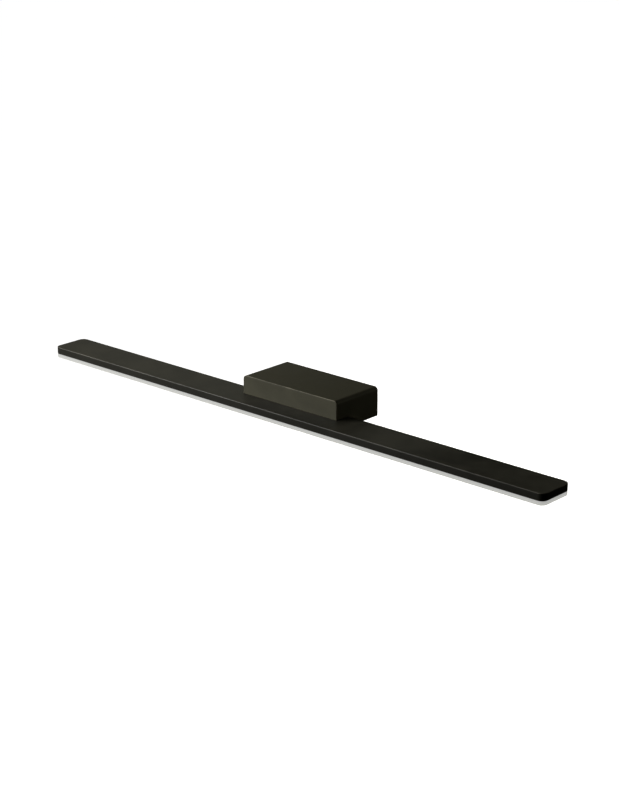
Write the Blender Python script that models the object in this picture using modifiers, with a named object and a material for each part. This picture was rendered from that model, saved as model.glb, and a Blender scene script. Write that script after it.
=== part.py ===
"""LED vanity light bar: a slim metal bar with an opal diffuser, carried by a wall canopy.

The wall is the plane Y = 0 and the light stands out from it towards -Y. X runs along the bar
and Z is up. The origin is on the back face of the wall bracket. Every size is in metres.
"""

import math

import bmesh
import bpy
from mathutils import Matrix, Vector

# ---- Driving sizes -------------------------------------------------------------------------

GAP = 0.0003  # air between two pieces that touch on the real light

BAR_LENGTH = 0.800
BAR_DEPTH = 0.051
BAR_CORNER = 0.008
PROJECTION = 0.105  # wall to the bar's front edge

HOUSING_HEIGHT = 0.0092
HOUSING_ROOF = 0.0016
HOUSING_SIDE = 0.0016
HOUSING_EDGE = 0.0006

DIFFUSER_SHOW = 0.0054  # height of diffuser below the housing
DIFFUSER_WALL = 0.0020
DIFFUSER_FLOOR = 0.0025
TONGUE_HEIGHT = 0.0035
SNAP_DEPTH = 0.0007  # groove in the housing that the diffuser's ridge snaps into
SNAP_HEIGHT = 0.0010

CANOPY_WIDTH = 0.154
CANOPY_HEIGHT = 0.038
CANOPY_RISE = 0.024  # canopy's top above the bar's top
CANOPY_LAP = 0.0225  # how far the canopy reaches forward over the bar
CANOPY_WALL = 0.0015
CANOPY_TOP_CORNER = 0.005
CANOPY_LOW_CORNER = 0.0025
CANOPY_EDGE = 0.0005
SEAL_THICKNESS = 0.0008

BRACKET_THICKNESS = 0.0015
BRACKET_LIP = 0.010
SLOT_WIDTH = 0.0045
SLOT_LENGTH = 0.014
SLOT_INSET = 0.021  # bracket's end to the middle of a wall-screw slot
CABLE_HOLE_RADIUS = 0.005
BRACKET_HOLE_OFFSET = 0.028  # cable hole to one side of the middle, earth screw to the other
GROMMET_WALL = 0.0015
GROMMET_FLANGE = 0.0022
GROMMET_FLANGE_THICKNESS = 0.0012

LOCK_INSET = 0.030  # canopy's inner side to a locking screw
LOCK_NUT_ACROSS = 0.007
LOCK_NUT_HEIGHT = 0.0018
LOCK_HEAD_HEIGHT = 0.0012
LOCK_HEAD_RADIUS = 0.0034

SCREW_RADIUS = 0.00175
SCREW_HEAD_RADIUS = 0.0036
SCREW_HEAD_HEIGHT = 0.0022
SMALL_SCREW_RADIUS = 0.0013
SMALL_HEAD_RADIUS = 0.0025
SMALL_HEAD_HEIGHT = 0.0015
WASHER_RADIUS = 0.0042
WASHER_THICKNESS = 0.0007

BAR_SCREWS = 4
BAR_SCREW_INSET = 0.0175  # canopy's inner side to the outermost bar screw
BAR_SCREW_SETBACK = 0.010  # bar's rear edge to the row of bar screws
CLAMP_DEPTH = 0.009
CLAMP_THICKNESS = 0.0015
CLAMP_OVERHANG = 0.006
LEAD_HOLE_RADIUS = 0.004

LED_BOARD_WIDTH = 0.012
LED_BOARD_THICKNESS = 0.0012
LED_BOARD_INSET = 0.012  # housing's end to the end of a board
LED_BOARD_SPLIT = 0.002
THERMAL_PAD_THICKNESS = 0.0005
THERMAL_PAD_INSET = 0.0005
LED_SIZE = (0.0035, 0.0028, 0.0007)
LED_PITCH = 0.012
CONNECTOR_SIZE = (0.0065, 0.0038, 0.0030)
JUMPER_SIZE = (0.010, 0.0033, 0.0025)

TERMINAL_POLES = 3
TERMINAL_PITCH = 0.0082
TERMINAL_DEPTH = 0.018
TERMINAL_HEIGHT = 0.013
TERMINAL_BASE = 0.0055
TERMINAL_TOWER = 0.0068
TERMINAL_EAR = 0.007
TERMINAL_EAR_THICKNESS = 0.0025
TERMINAL_BORE = 0.0014
TERMINAL_SCREW_SPREAD = 0.0045  # middle of the block to either row of screws
TERMINAL_SCREW_LENGTH = 0.004
TERMINAL_INSET = 0.003  # canopy's inner side to the end of the block

DRIVER_HEIGHT = 0.020
DRIVER_WALL = 0.0012
DRIVER_MARGIN = 0.003  # driver to the canopy and to the bracket's lips
DRIVER_EAR = 0.007
DRIVER_EAR_THICKNESS = 0.0020
DRIVER_RAIL = 0.0012
DRIVER_RAIL_HEIGHT = 0.0020
DRIVER_BOARD_THICKNESS = 0.0016
DRIVER_LID_THICKNESS = 0.0012
DRIVER_LID_PLUG = 0.0012
TRANSFORMER_SIZE = (0.016, 0.015, 0.0105)
TRANSFORMER_CORE_BAND = 0.007
BOBBIN_PROUD = 0.0012  # winding's reach past the core, and its drop below the core's top
CHOKE_RADIUS = 0.0042
CHOKE_HEIGHT = 0.0085
INPUT_CAPACITOR = (0.0040, 0.0105)
OUTPUT_CAPACITOR = (0.0045, 0.0100)
RECTIFIER_SIZE = (0.0065, 0.0050, 0.0026)

COLUMN_SHARES = (0.26, 0.53, 0.80)  # input, transformer and output parts along the driver
BACK_ROW = 0.008  # driver's middle line to the parts behind it
FRONT_ROW = 0.006  # driver's middle line to the parts in front of it

MAINS_LEAD_RADIUS = 0.0011
MAINS_ENTRIES = (0.008, 0.003)  # driver's middle line forwards to the neutral and live leads
OUTPUT_LEAD_RADIUS = 0.0009
OUTPUT_ENTRIES = (0.008, 0.004)  # driver's middle line forwards to each output lead
OUTPUT_LEAD_SPREAD = 0.0012  # middle of the lead hole to either output lead
LEAD_STEPS = 6  # points on each span of a lead
LEAD_ENTRY = 0.003  # length of lead inside the driver's case
LEAD_STUB = 0.0015  # straight end of a lead at a terminal
LEAD_BEND = 0.004  # room that a mains lead turns in
EARTH_SWING = 0.008  # how far the earth lead swings out in front of the terminal block
RISER_CLEARANCE = 0.003  # canopy's riser to the middle of the earth lead
OUTPUT_TURN = 0.003  # room that an output lead turns in
OUTPUT_RISE = 0.0035  # output leads' run over the ledge, above the grommet
OUTPUT_DROP = 0.0025  # height above the grommet at which they start to turn down
OUTPUT_CROSSING = 0.0015  # half the height between the two output leads where they cross
OUTPUT_AHEAD = 0.001  # riser to the point where they pass over it
OUTPUT_BEHIND = 0.002  # row of bar screws to the middle of their run
RING_REACH = 3.2 * MAINS_LEAD_RADIUS  # ring of the earth terminal to the end of its barrel

# ---- Places worked out from the sizes ------------------------------------------------------

CANOPY_TOP = CANOPY_HEIGHT / 2
CANOPY_BOTTOM = -CANOPY_HEIGHT / 2
CANOPY_FLOOR = CANOPY_BOTTOM + CANOPY_WALL
CANOPY_CEILING = CANOPY_TOP - CANOPY_WALL
CANOPY_INSIDE = CANOPY_WIDTH / 2 - CANOPY_WALL
CANOPY_BACK = -SEAL_THICKNESS - GAP

BAR_TOP = CANOPY_TOP - CANOPY_RISE
BAR_FRONT = -PROJECTION
BAR_REAR = BAR_FRONT + BAR_DEPTH
BAR_MIDDLE = (BAR_FRONT + BAR_REAR) / 2
HOUSING_BOTTOM = BAR_TOP - HOUSING_HEIGHT
ROOF_UNDERSIDE = BAR_TOP - HOUSING_ROOF
DIFFUSER_BOTTOM = HOUSING_BOTTOM - DIFFUSER_SHOW

CANOPY_FRONT = BAR_REAR - CANOPY_LAP
LEDGE_TOP = BAR_TOP + GAP + CANOPY_WALL
RISER_INSIDE = BAR_REAR + GAP + CANOPY_WALL

BRACKET_HALF = CANOPY_INSIDE - CANOPY_TOP_CORNER
BRACKET_TOP = CANOPY_CEILING - GAP
BRACKET_BOTTOM = CANOPY_FLOOR + LOCK_NUT_HEIGHT + 2 * GAP
BRACKET_FACE = -BRACKET_THICKNESS
LOCK_X = CANOPY_INSIDE - LOCK_INSET
LOCK_Y = -BRACKET_LIP / 2

BAR_SCREW_Y = BAR_REAR - BAR_SCREW_SETBACK
BAR_SCREW_SPAN = 2 * (CANOPY_INSIDE - BAR_SCREW_INSET)
BAR_SCREW_XS = [
    BAR_SCREW_SPAN * (i / (BAR_SCREWS - 1) - 0.5) for i in range(BAR_SCREWS)
]
LEAD_X = (BAR_SCREW_XS[-2] + BAR_SCREW_XS[-1]) / 2
CLAMP_TOP = ROOF_UNDERSIDE - GAP
CLAMP_UNDERSIDE = CLAMP_TOP - CLAMP_THICKNESS

LED_BOARD_TOP = ROOF_UNDERSIDE - THERMAL_PAD_THICKNESS - 2 * GAP
LED_BOARD_UNDERSIDE = LED_BOARD_TOP - LED_BOARD_THICKNESS
LED_BOARD_END = BAR_LENGTH / 2 - LED_BOARD_INSET
LED_BOARD_REAR = BAR_MIDDLE + LED_BOARD_WIDTH / 2

TERMINAL_LENGTH = TERMINAL_POLES * TERMINAL_PITCH
TERMINAL_LEFT = -CANOPY_INSIDE + TERMINAL_INSET + TERMINAL_EAR
TERMINAL_RIGHT = TERMINAL_LEFT + TERMINAL_LENGTH
TERMINAL_BACK = -BRACKET_LIP - DRIVER_MARGIN
TERMINAL_FRONT = TERMINAL_BACK - TERMINAL_DEPTH
TERMINAL_Y = (TERMINAL_BACK + TERMINAL_FRONT) / 2
TERMINAL_BOTTOM = CANOPY_FLOOR + GAP
TERMINAL_BORE_Z = TERMINAL_BOTTOM + TERMINAL_BASE
TERMINAL_XS = [
    TERMINAL_LEFT + TERMINAL_PITCH * (i + 0.5) for i in range(TERMINAL_POLES)
]

DRIVER_BOTTOM = CANOPY_FLOOR + GAP
DRIVER_BACK = -BRACKET_LIP - DRIVER_MARGIN
DRIVER_FRONT = RISER_INSIDE + DRIVER_MARGIN
DRIVER_Y = (DRIVER_BACK + DRIVER_FRONT) / 2
DRIVER_LEFT = TERMINAL_RIGHT + DRIVER_MARGIN + DRIVER_EAR
DRIVER_RIGHT = CANOPY_INSIDE - DRIVER_MARGIN - DRIVER_EAR
DRIVER_RIM = DRIVER_BOTTOM + DRIVER_HEIGHT - DRIVER_LID_THICKNESS - GAP
DRIVER_FLOOR = DRIVER_BOTTOM + DRIVER_WALL
DRIVER_RAIL_TOP = DRIVER_FLOOR + DRIVER_RAIL_HEIGHT
DRIVER_BOARD_TOP = DRIVER_RAIL_TOP + GAP + DRIVER_BOARD_THICKNESS
DRIVER_LEAD_Z = DRIVER_BOARD_TOP + 3 * MAINS_LEAD_RADIUS
MAINS_ENTRY_YS = [DRIVER_Y - entry for entry in MAINS_ENTRIES]
OUTPUT_ENTRY_YS = [DRIVER_Y - entry for entry in OUTPUT_ENTRIES]
EARTH_RING_REACH = WASHER_RADIUS + RING_REACH

# ---- Collections and materials -------------------------------------------------------------

for leftover in list(bpy.data.objects):
    bpy.data.objects.remove(leftover, do_unlink=True)


def new_collection(name):
    """A collection linked to the scene."""
    collection = bpy.data.collections.new(name)
    bpy.context.scene.collection.children.link(collection)
    return collection


PARTS = new_collection("vanity_light_bar")
CUTTERS = new_collection("cutters")


def new_material(name, colour, roughness, metallic=0.0):
    """A Principled material of one colour."""
    material = bpy.data.materials.new(name)
    material.use_nodes = True
    shader = material.node_tree.nodes["Principled BSDF"]
    shader.inputs["Base Color"].default_value = (*colour, 1.0)
    shader.inputs["Roughness"].default_value = roughness
    shader.inputs["Metallic"].default_value = metallic
    return material


BLACK_PAINT = new_material("black_paint", (0.035, 0.034, 0.027), 0.42, 0.1)
OPAL = new_material("opal_acrylic", (0.78, 0.78, 0.76), 0.55)
ZINC = new_material("zinc_steel", (0.62, 0.62, 0.60), 0.35, 1.0)
RUBBER = new_material("black_rubber", (0.02, 0.02, 0.02), 0.85)
WHITE_PLASTIC = new_material("white_plastic", (0.80, 0.80, 0.77), 0.5)
CLEAR_NYLON = new_material("natural_nylon", (0.72, 0.70, 0.62), 0.45)
CIRCUIT = new_material("circuit_board", (0.03, 0.16, 0.07), 0.5)
WHITE_BOARD = new_material("white_board", (0.82, 0.82, 0.80), 0.4)
THERMAL = new_material("thermal_pad", (0.45, 0.50, 0.55), 0.8)
FERRITE = new_material("ferrite", (0.06, 0.06, 0.065), 0.6)
SLEEVE = new_material("capacitor_sleeve", (0.02, 0.03, 0.10), 0.35)
BRASS = new_material("brass", (0.72, 0.55, 0.25), 0.35, 1.0)
BROWN_LEAD = new_material("brown_lead", (0.20, 0.07, 0.03), 0.45)
BLUE_LEAD = new_material("blue_lead", (0.03, 0.12, 0.45), 0.45)
EARTH_LEAD = new_material("earth_lead", (0.35, 0.50, 0.05), 0.45)
RED_LEAD = new_material("red_lead", (0.55, 0.03, 0.02), 0.45)
BLACK_LEAD = new_material("black_lead", (0.02, 0.02, 0.02), 0.45)

# ---- Bodies --------------------------------------------------------------------------------


def new_body(name, location=(0, 0, 0), parent=None):
    """An empty that carries the pieces which move together."""
    empty = bpy.data.objects.new(name, None)
    empty.empty_display_size = 0.02
    empty.location = location
    empty.parent = parent
    PARTS.objects.link(empty)
    return empty


ROOT = new_body("root_body")
LAMP = new_body("lamp_body", parent=ROOT)

# ---- Shape tools ---------------------------------------------------------------------------

AXES = {"X": 0, "Y": 1, "Z": 2}
TURN_TO = {
    "+Z": Matrix.Identity(4),
    "-Z": Matrix.Rotation(math.pi, 4, "X"),
    "-Y": Matrix.Rotation(math.pi / 2, 4, "X"),
    "+X": Matrix.Rotation(math.pi / 2, 4, "Y"),
}


def place(obj, location, material, body):
    """Puts a piece in the parts collection, or in the cutters where it has no body."""
    obj.location = location
    if body is None:
        CUTTERS.objects.link(obj)
        obj.hide_render = True
        obj.display_type = "WIRE"
        return obj
    PARTS.objects.link(obj)
    obj.parent = body
    obj.location = Vector(location) - body.location
    obj.data.materials.append(material)
    return obj


def from_bmesh(name, shape):
    """An object that holds a finished bmesh."""
    mesh = bpy.data.meshes.new(name)
    shape.to_mesh(mesh)
    shape.free()
    return bpy.data.objects.new(name, mesh)


def along(axis, side_axis=None, side=1):
    """A test for a block's edges along one axis, on one side of the block or on both."""

    def test(edge):
        run = edge.verts[1].co - edge.verts[0].co
        middle = (edge.verts[1].co + edge.verts[0].co) / 2
        lies_along = abs(run[AXES[axis]]) > 0.999 * run.length
        return lies_along and (side_axis is None or middle[AXES[side_axis]] * side > 0)

    return test


def rim(axis, side):
    """A test for the edges round the end face of a shape, on one side along an axis."""

    def test(edge):
        edge_ends = [vert.co[AXES[axis]] * side for vert in edge.verts]
        around = [vert for face in edge.link_faces for vert in face.verts]
        furthest = max(vert.co[AXES[axis]] * side for vert in around)
        flat = abs((edge.verts[1].co - edge.verts[0].co)[AXES[axis]]) < 1e-7
        return flat and min(edge_ends) > 0 and min(edge_ends) >= furthest - 1e-7

    return test


def block(name, low, high, material=None, body=None, bevels=()):
    """A box between two corners. Each bevel is (edge test, radius, segments), done in order."""
    low, high = Vector(low), Vector(high)
    shape = bmesh.new()
    bmesh.ops.create_cube(shape, size=1.0)
    bmesh.ops.scale(shape, vec=high - low, verts=shape.verts)
    for test, radius, segments in bevels:
        edges = [edge for edge in shape.edges if test(edge)]
        bmesh.ops.bevel(
            shape,
            geom=edges,
            offset=radius,
            offset_type="OFFSET",
            segments=segments,
            profile=0.5,
            affect="EDGES",
            clamp_overlap=False,
        )
    return place(from_bmesh(name, shape), (low + high) / 2, material, body)


def cylinder(name, radius, start, height, towards="+Z", material=None, body=None, sides=20):
    """A cylinder that stands on the point start and runs in one direction."""
    shape = bmesh.new()
    bmesh.ops.create_cone(
        shape, cap_ends=True, segments=sides, radius1=radius, radius2=radius, depth=height
    )
    bmesh.ops.translate(shape, vec=(0, 0, height / 2), verts=shape.verts)
    bmesh.ops.transform(shape, matrix=TURN_TO[towards], verts=shape.verts)
    return place(from_bmesh(name, shape), start, material, body)


def turned(name, profile, start, towards, material, body, steps=20):
    """A turned piece: (radius, height) points swept round an axis through the point start."""
    mesh = bpy.data.meshes.new(name)
    closed = min(radius for radius, _ in profile) > 0
    links = [(i, i + 1) for i in range(len(profile) - 1)]
    if closed:
        links.append((len(profile) - 1, 0))
    mesh.from_pydata([(radius, 0, height) for radius, height in profile], links, [])
    obj = bpy.data.objects.new(name, mesh)
    screw = obj.modifiers.new("turn", "SCREW")
    screw.steps = steps
    screw.render_steps = steps
    screw.use_merge_vertices = True
    screw.merge_threshold = 0.00001
    screw.use_normal_calculate = True
    screw.use_normal_flip = closed
    obj.rotation_euler = TURN_TO[towards].to_euler()
    return place(obj, start, material, body)


def boolean(target, other, operation="DIFFERENCE"):
    """Cuts a helper out of a piece, or joins it on."""
    modifier = target.modifiers.new(f"{operation.lower()}_{other.name}", "BOOLEAN")
    modifier.operation = operation
    modifier.solver = "EXACT"
    modifier.object = other


def bar_outline(name, inset, low_z, high_z, material=None, body=None, bevels=()):
    """A plate with the bar's rounded outline, set in from its edge all round."""
    return block(
        name,
        (-BAR_LENGTH / 2 + inset, BAR_FRONT + inset, low_z),
        (BAR_LENGTH / 2 - inset, BAR_REAR - inset, high_z),
        material,
        body,
        [(along("Z"), BAR_CORNER - inset, 6), *bevels],
    )


def canopy_outline(name, inset, back, front, low_z=None, material=None, body=None, bevels=()):
    """A block with the canopy's end-on outline, set in from its edge all round."""
    bottom = CANOPY_BOTTOM + inset
    corners = [
        (along("Y", "Z", 1), CANOPY_TOP_CORNER - inset, 5),
        (along("Y", "Z", -1), CANOPY_LOW_CORNER - inset, 3),
    ]
    return block(
        name,
        (-CANOPY_WIDTH / 2 + inset, front, bottom if low_z is None else low_z),
        (CANOPY_WIDTH / 2 - inset, back, CANOPY_TOP - inset),
        material,
        body,
        [*corners, *bevels],
    )


def recess(screw, kind, width, depth, top, towards):
    """Cuts the driver's recess into a screw's head, whose top is at the point top."""
    reach = TURN_TO[towards].to_3x3() @ Vector((0, 0, 1))
    blade = 0.25 * width
    sizes = {"slot": [(2 * width, blade)], "cross": [(width, blade), (blade, width)]}
    if kind == "hex":
        start = Vector(top) - reach * depth
        cutter = cylinder(f"{screw.name}_recess", width / 2, start, 2 * depth, towards, sides=6)
        boolean(screw, cutter)
        return
    for index, (length, breadth) in enumerate(sizes[kind]):
        half = TURN_TO[towards].to_3x3() @ Vector((length / 2, breadth / 2, depth))
        half = Vector([abs(value) for value in half])
        cutter = block(f"{screw.name}_recess_{index}", Vector(top) - half, Vector(top) + half)
        boolean(screw, cutter)


def pan_screw(name, seat, towards, shank, head, height, length, body, kind="cross", steps=16):
    """A pan-head screw. Its head stands on the point seat and its shank runs the other way."""
    profile = [
        (0, -length),
        (0.75 * shank, -length),
        (shank, -length + 0.25 * shank),
        (shank, 0),
        (head, 0),
        (head, 0.55 * height),
        (0.72 * head, height),
        (0, height),
    ]
    screw = turned(name, profile, seat, towards, ZINC, body, steps)
    reach = TURN_TO[towards].to_3x3() @ Vector((0, 0, 1))
    recess(screw, kind, 1.1 * head, 0.5 * height, Vector(seat) + reach * height, towards)
    return screw


def washer(name, inner, outer, thickness, start, towards, body):
    """A flat washer that lies on the point start."""
    profile = [(inner, 0), (outer, 0), (outer, thickness), (inner, thickness)]
    return turned(name, profile, start, towards, ZINC, body)


def smooth_route(points):
    """Points read from a Catmull-Rom curve through the route's own points."""
    padded = [points[0], *points, points[-1]]
    route = []
    for before, start, end, after in zip(padded, padded[1:], padded[2:], padded[3:]):
        for step in range(LEAD_STEPS):
            t = step / LEAD_STEPS
            route.append(
                0.5
                * (
                    2 * start
                    + (end - before) * t
                    + (2 * before - 5 * start + 4 * end - after) * t**2
                    + (3 * start - before - 3 * end + after) * t**3
                )
            )
    return [*route, points[-1]]


def lead(name, points, radius, material, body):
    """A round insulated lead along a smooth route."""
    route = smooth_route([Vector(point) for point in points])
    curve = bpy.data.curves.new(name, "CURVE")
    curve.dimensions = "3D"
    curve.bevel_depth = radius
    curve.bevel_resolution = 2
    curve.use_fill_caps = True
    spline = curve.splines.new("POLY")
    spline.points.add(len(route) - 1)
    for spot, point in zip(spline.points, route):
        spot.co = (*point, 1.0)
    return place(bpy.data.objects.new(name, curve), (0, 0, 0), material, body)


# ---- Wall bracket --------------------------------------------------------------------------


def build_bracket():
    """The channel that is screwed to the wall, its grommet and its earth screw."""
    half = BRACKET_HALF
    plate = block(
        "bracket_plate",
        (-half, -BRACKET_LIP, BRACKET_BOTTOM),
        (half, 0, BRACKET_TOP),
        ZINC,
        ROOT,
    )
    channel = block(
        "bracket_channel",
        (-2 * half, -2 * BRACKET_LIP, BRACKET_BOTTOM + BRACKET_THICKNESS),
        (2 * half, BRACKET_FACE, BRACKET_TOP - BRACKET_THICKNESS),
    )
    boolean(plate, channel)
    middle_z = (BRACKET_BOTTOM + BRACKET_TOP) / 2
    for side, x in (("left", -half + SLOT_INSET), ("right", half - SLOT_INSET)):
        slot = block(
            f"wall_slot_{side}",
            (x - SLOT_LENGTH / 2, -2 * BRACKET_THICKNESS, middle_z - SLOT_WIDTH / 2),
            (x + SLOT_LENGTH / 2, BRACKET_THICKNESS, middle_z + SLOT_WIDTH / 2),
            bevels=[(along("Y"), 0.49 * SLOT_WIDTH, 5)],
        )
        boolean(plate, slot)
    back = BRACKET_THICKNESS
    hole_x = -BRACKET_HOLE_OFFSET
    hole = cylinder("cable_hole", CABLE_HOLE_RADIUS, (hole_x, back, middle_z), 3 * back, "-Y")
    boolean(plate, hole)
    barrel = CABLE_HOLE_RADIUS - GAP
    bore = barrel - GROMMET_WALL
    flange = CABLE_HOLE_RADIUS + GROMMET_FLANGE
    seat = BRACKET_THICKNESS + GAP
    profile = [
        (bore, GAP),
        (barrel, GAP),
        (barrel, seat),
        (flange, seat),
        (flange, seat + GROMMET_FLANGE_THICKNESS),
        (bore, seat + GROMMET_FLANGE_THICKNESS),
    ]
    turned("cable_grommet", profile, (hole_x, 0, middle_z), "-Y", RUBBER, ROOT)
    screw_x = BRACKET_HOLE_OFFSET
    clear = SCREW_RADIUS + GAP
    boolean(plate, cylinder("earth_hole", clear, (screw_x, back, middle_z), 3 * back, "-Y"))
    washer_seat = BRACKET_FACE - GAP
    washer(
        "bracket_earth_washer",
        clear,
        WASHER_RADIUS,
        WASHER_THICKNESS,
        (screw_x, washer_seat, middle_z),
        "-Y",
        ROOT,
    )
    head_seat = washer_seat - WASHER_THICKNESS - GAP
    pan_screw(
        "bracket_earth_screw",
        (screw_x, head_seat, middle_z),
        "-Y",
        SCREW_RADIUS,
        SCREW_HEAD_RADIUS,
        SCREW_HEAD_HEIGHT,
        -head_seat - GAP,
        ROOT,
    )


# ---- Canopy --------------------------------------------------------------------------------


def build_canopy():
    """The stepped box on the wall, with its seal. Returns the shell, which others drill."""
    shell = canopy_outline(
        "canopy_shell",
        0,
        CANOPY_BACK,
        CANOPY_FRONT,
        material=BLACK_PAINT,
        body=LAMP,
        bevels=[(rim("Y", -1), CANOPY_EDGE, 2)],
    )
    clear = 2 * CANOPY_WIDTH
    step = block(
        "bar_step",
        (-clear, CANOPY_FRONT - clear, CANOPY_BOTTOM - clear),
        (clear, BAR_REAR + GAP, BAR_TOP + GAP),
    )
    room = canopy_outline("canopy_room", CANOPY_WALL, clear, CANOPY_FRONT + CANOPY_WALL)
    ledge = block(
        "canopy_ledge",
        (-clear, CANOPY_FRONT - clear, CANOPY_BOTTOM - clear),
        (clear, RISER_INSIDE, LEDGE_TOP),
    )
    boolean(room, ledge)
    for cutter in (step, room):
        boolean(shell, cutter)
    seal = canopy_outline("wall_seal", 0, 0, -SEAL_THICKNESS, material=RUBBER, body=LAMP)
    boolean(seal, canopy_outline("seal_opening", CANOPY_WALL, clear, -clear))
    return shell


def build_locks(shell):
    """The two screws under the canopy that press on the bracket's lower lip, with their nuts."""
    for side, x in (("left", -LOCK_X), ("right", LOCK_X)):
        body = new_body(f"lock_screw_{side}_body", (x, LOCK_Y, CANOPY_BOTTOM), LAMP)
        hole = cylinder(
            f"lock_hole_{side}",
            SCREW_RADIUS + GAP,
            (x, LOCK_Y, CANOPY_BOTTOM - CANOPY_WALL),
            4 * CANOPY_WALL + LOCK_NUT_HEIGHT,
        )
        boolean(shell, hole)
        nut = cylinder(
            f"lock_nut_{side}",
            LOCK_NUT_ACROSS / 2 / math.cos(math.pi / 6),
            (x, LOCK_Y, CANOPY_FLOOR + GAP),
            LOCK_NUT_HEIGHT,
            material=ZINC,
            body=LAMP,
            sides=6,
        )
        boolean(nut, hole)
        pan_screw(
            f"lock_screw_{side}",
            (x, LOCK_Y, CANOPY_BOTTOM - GAP),
            "-Z",
            SCREW_RADIUS,
            LOCK_HEAD_RADIUS,
            LOCK_HEAD_HEIGHT,
            BRACKET_BOTTOM - CANOPY_BOTTOM,
            body,
            kind="hex",
        )


# ---- Bar -----------------------------------------------------------------------------------


def build_housing():
    """The painted aluminium trough. Returns it, because others drill it."""
    housing = bar_outline(
        "bar_housing",
        0,
        HOUSING_BOTTOM,
        BAR_TOP,
        BLACK_PAINT,
        LAMP,
        [(rim("Z", 1), HOUSING_EDGE, 2)],
    )
    below = HOUSING_BOTTOM - HOUSING_HEIGHT
    boolean(housing, bar_outline("housing_room", HOUSING_SIDE, below, ROOF_UNDERSIDE))
    tongue_top = HOUSING_BOTTOM + TONGUE_HEIGHT
    groove = bar_outline(
        "snap_groove",
        HOUSING_SIDE - SNAP_DEPTH,
        tongue_top - SNAP_HEIGHT - GAP,
        tongue_top + GAP,
    )
    boolean(housing, groove)
    return housing


def build_diffuser():
    """The opal tray that snaps into the housing from below."""
    diffuser = bar_outline(
        "diffuser",
        0,
        DIFFUSER_BOTTOM,
        HOUSING_BOTTOM - GAP,
        OPAL,
        LAMP,
        [(rim("Z", -1), HOUSING_EDGE, 2)],
    )
    tongue_inset = HOUSING_SIDE + GAP
    tongue_top = HOUSING_BOTTOM + TONGUE_HEIGHT
    tongue = bar_outline("tongue", tongue_inset, HOUSING_BOTTOM - DIFFUSER_SHOW / 2, tongue_top)
    ridge = bar_outline(
        "ridge", tongue_inset - SNAP_DEPTH, tongue_top - SNAP_HEIGHT, tongue_top
    )
    boolean(diffuser, tongue, "UNION")
    boolean(diffuser, ridge, "UNION")
    room = bar_outline(
        "diffuser_room",
        tongue_inset + DIFFUSER_WALL,
        DIFFUSER_BOTTOM + DIFFUSER_FLOOR,
        BAR_TOP,
    )
    boolean(diffuser, room)


def build_led_board(side, sign):
    """One LED board with its row of LEDs, and the thermal pad between it and the housing."""
    near, far = LED_BOARD_SPLIT / 2, LED_BOARD_END
    low_x, high_x = (near, far) if sign > 0 else (-far, -near)
    half_width = LED_BOARD_WIDTH / 2
    board = block(
        f"led_board_{side}",
        (low_x, BAR_MIDDLE - half_width, LED_BOARD_UNDERSIDE),
        (high_x, BAR_MIDDLE + half_width, LED_BOARD_TOP),
        WHITE_BOARD,
        LAMP,
    )
    inset = THERMAL_PAD_INSET
    block(
        f"thermal_pad_{side}",
        (low_x + inset, BAR_MIDDLE - half_width + inset, LED_BOARD_TOP + GAP),
        (high_x - inset, BAR_MIDDLE + half_width - inset, ROOF_UNDERSIDE - GAP),
        THERMAL,
        LAMP,
    )
    count = int((far - near) / LED_PITCH)
    first_x = (low_x + high_x) / 2 - LED_PITCH * (count - 1) / 2
    length, width, height = LED_SIZE
    leds = block(
        f"leds_{side}",
        (first_x - length / 2, BAR_MIDDLE - width / 2, LED_BOARD_UNDERSIDE - height),
        (first_x + length / 2, BAR_MIDDLE + width / 2, LED_BOARD_UNDERSIDE + height / 2),
    )
    row = leds.modifiers.new("row", "ARRAY")
    row.count = count
    row.use_relative_offset = False
    row.use_constant_offset = True
    row.constant_offset_displace = (LED_PITCH, 0, 0)
    boolean(board, leds, "UNION")


def build_board_connectors():
    """The plug that feeds the right board, and the jumper from it to the left one."""
    length, width, height = CONNECTOR_SIZE
    top = LED_BOARD_UNDERSIDE - GAP
    block(
        "board_connector",
        (LEAD_X - length / 2, LED_BOARD_REAR - width, top - height),
        (LEAD_X + length / 2, LED_BOARD_REAR, top),
        WHITE_PLASTIC,
        LAMP,
    )
    length, width, height = JUMPER_SIZE
    front = BAR_MIDDLE - LED_BOARD_WIDTH / 2
    block(
        "board_jumper",
        (-length / 2, front, top - height),
        (length / 2, front + width, top),
        WHITE_PLASTIC,
        LAMP,
    )


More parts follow.
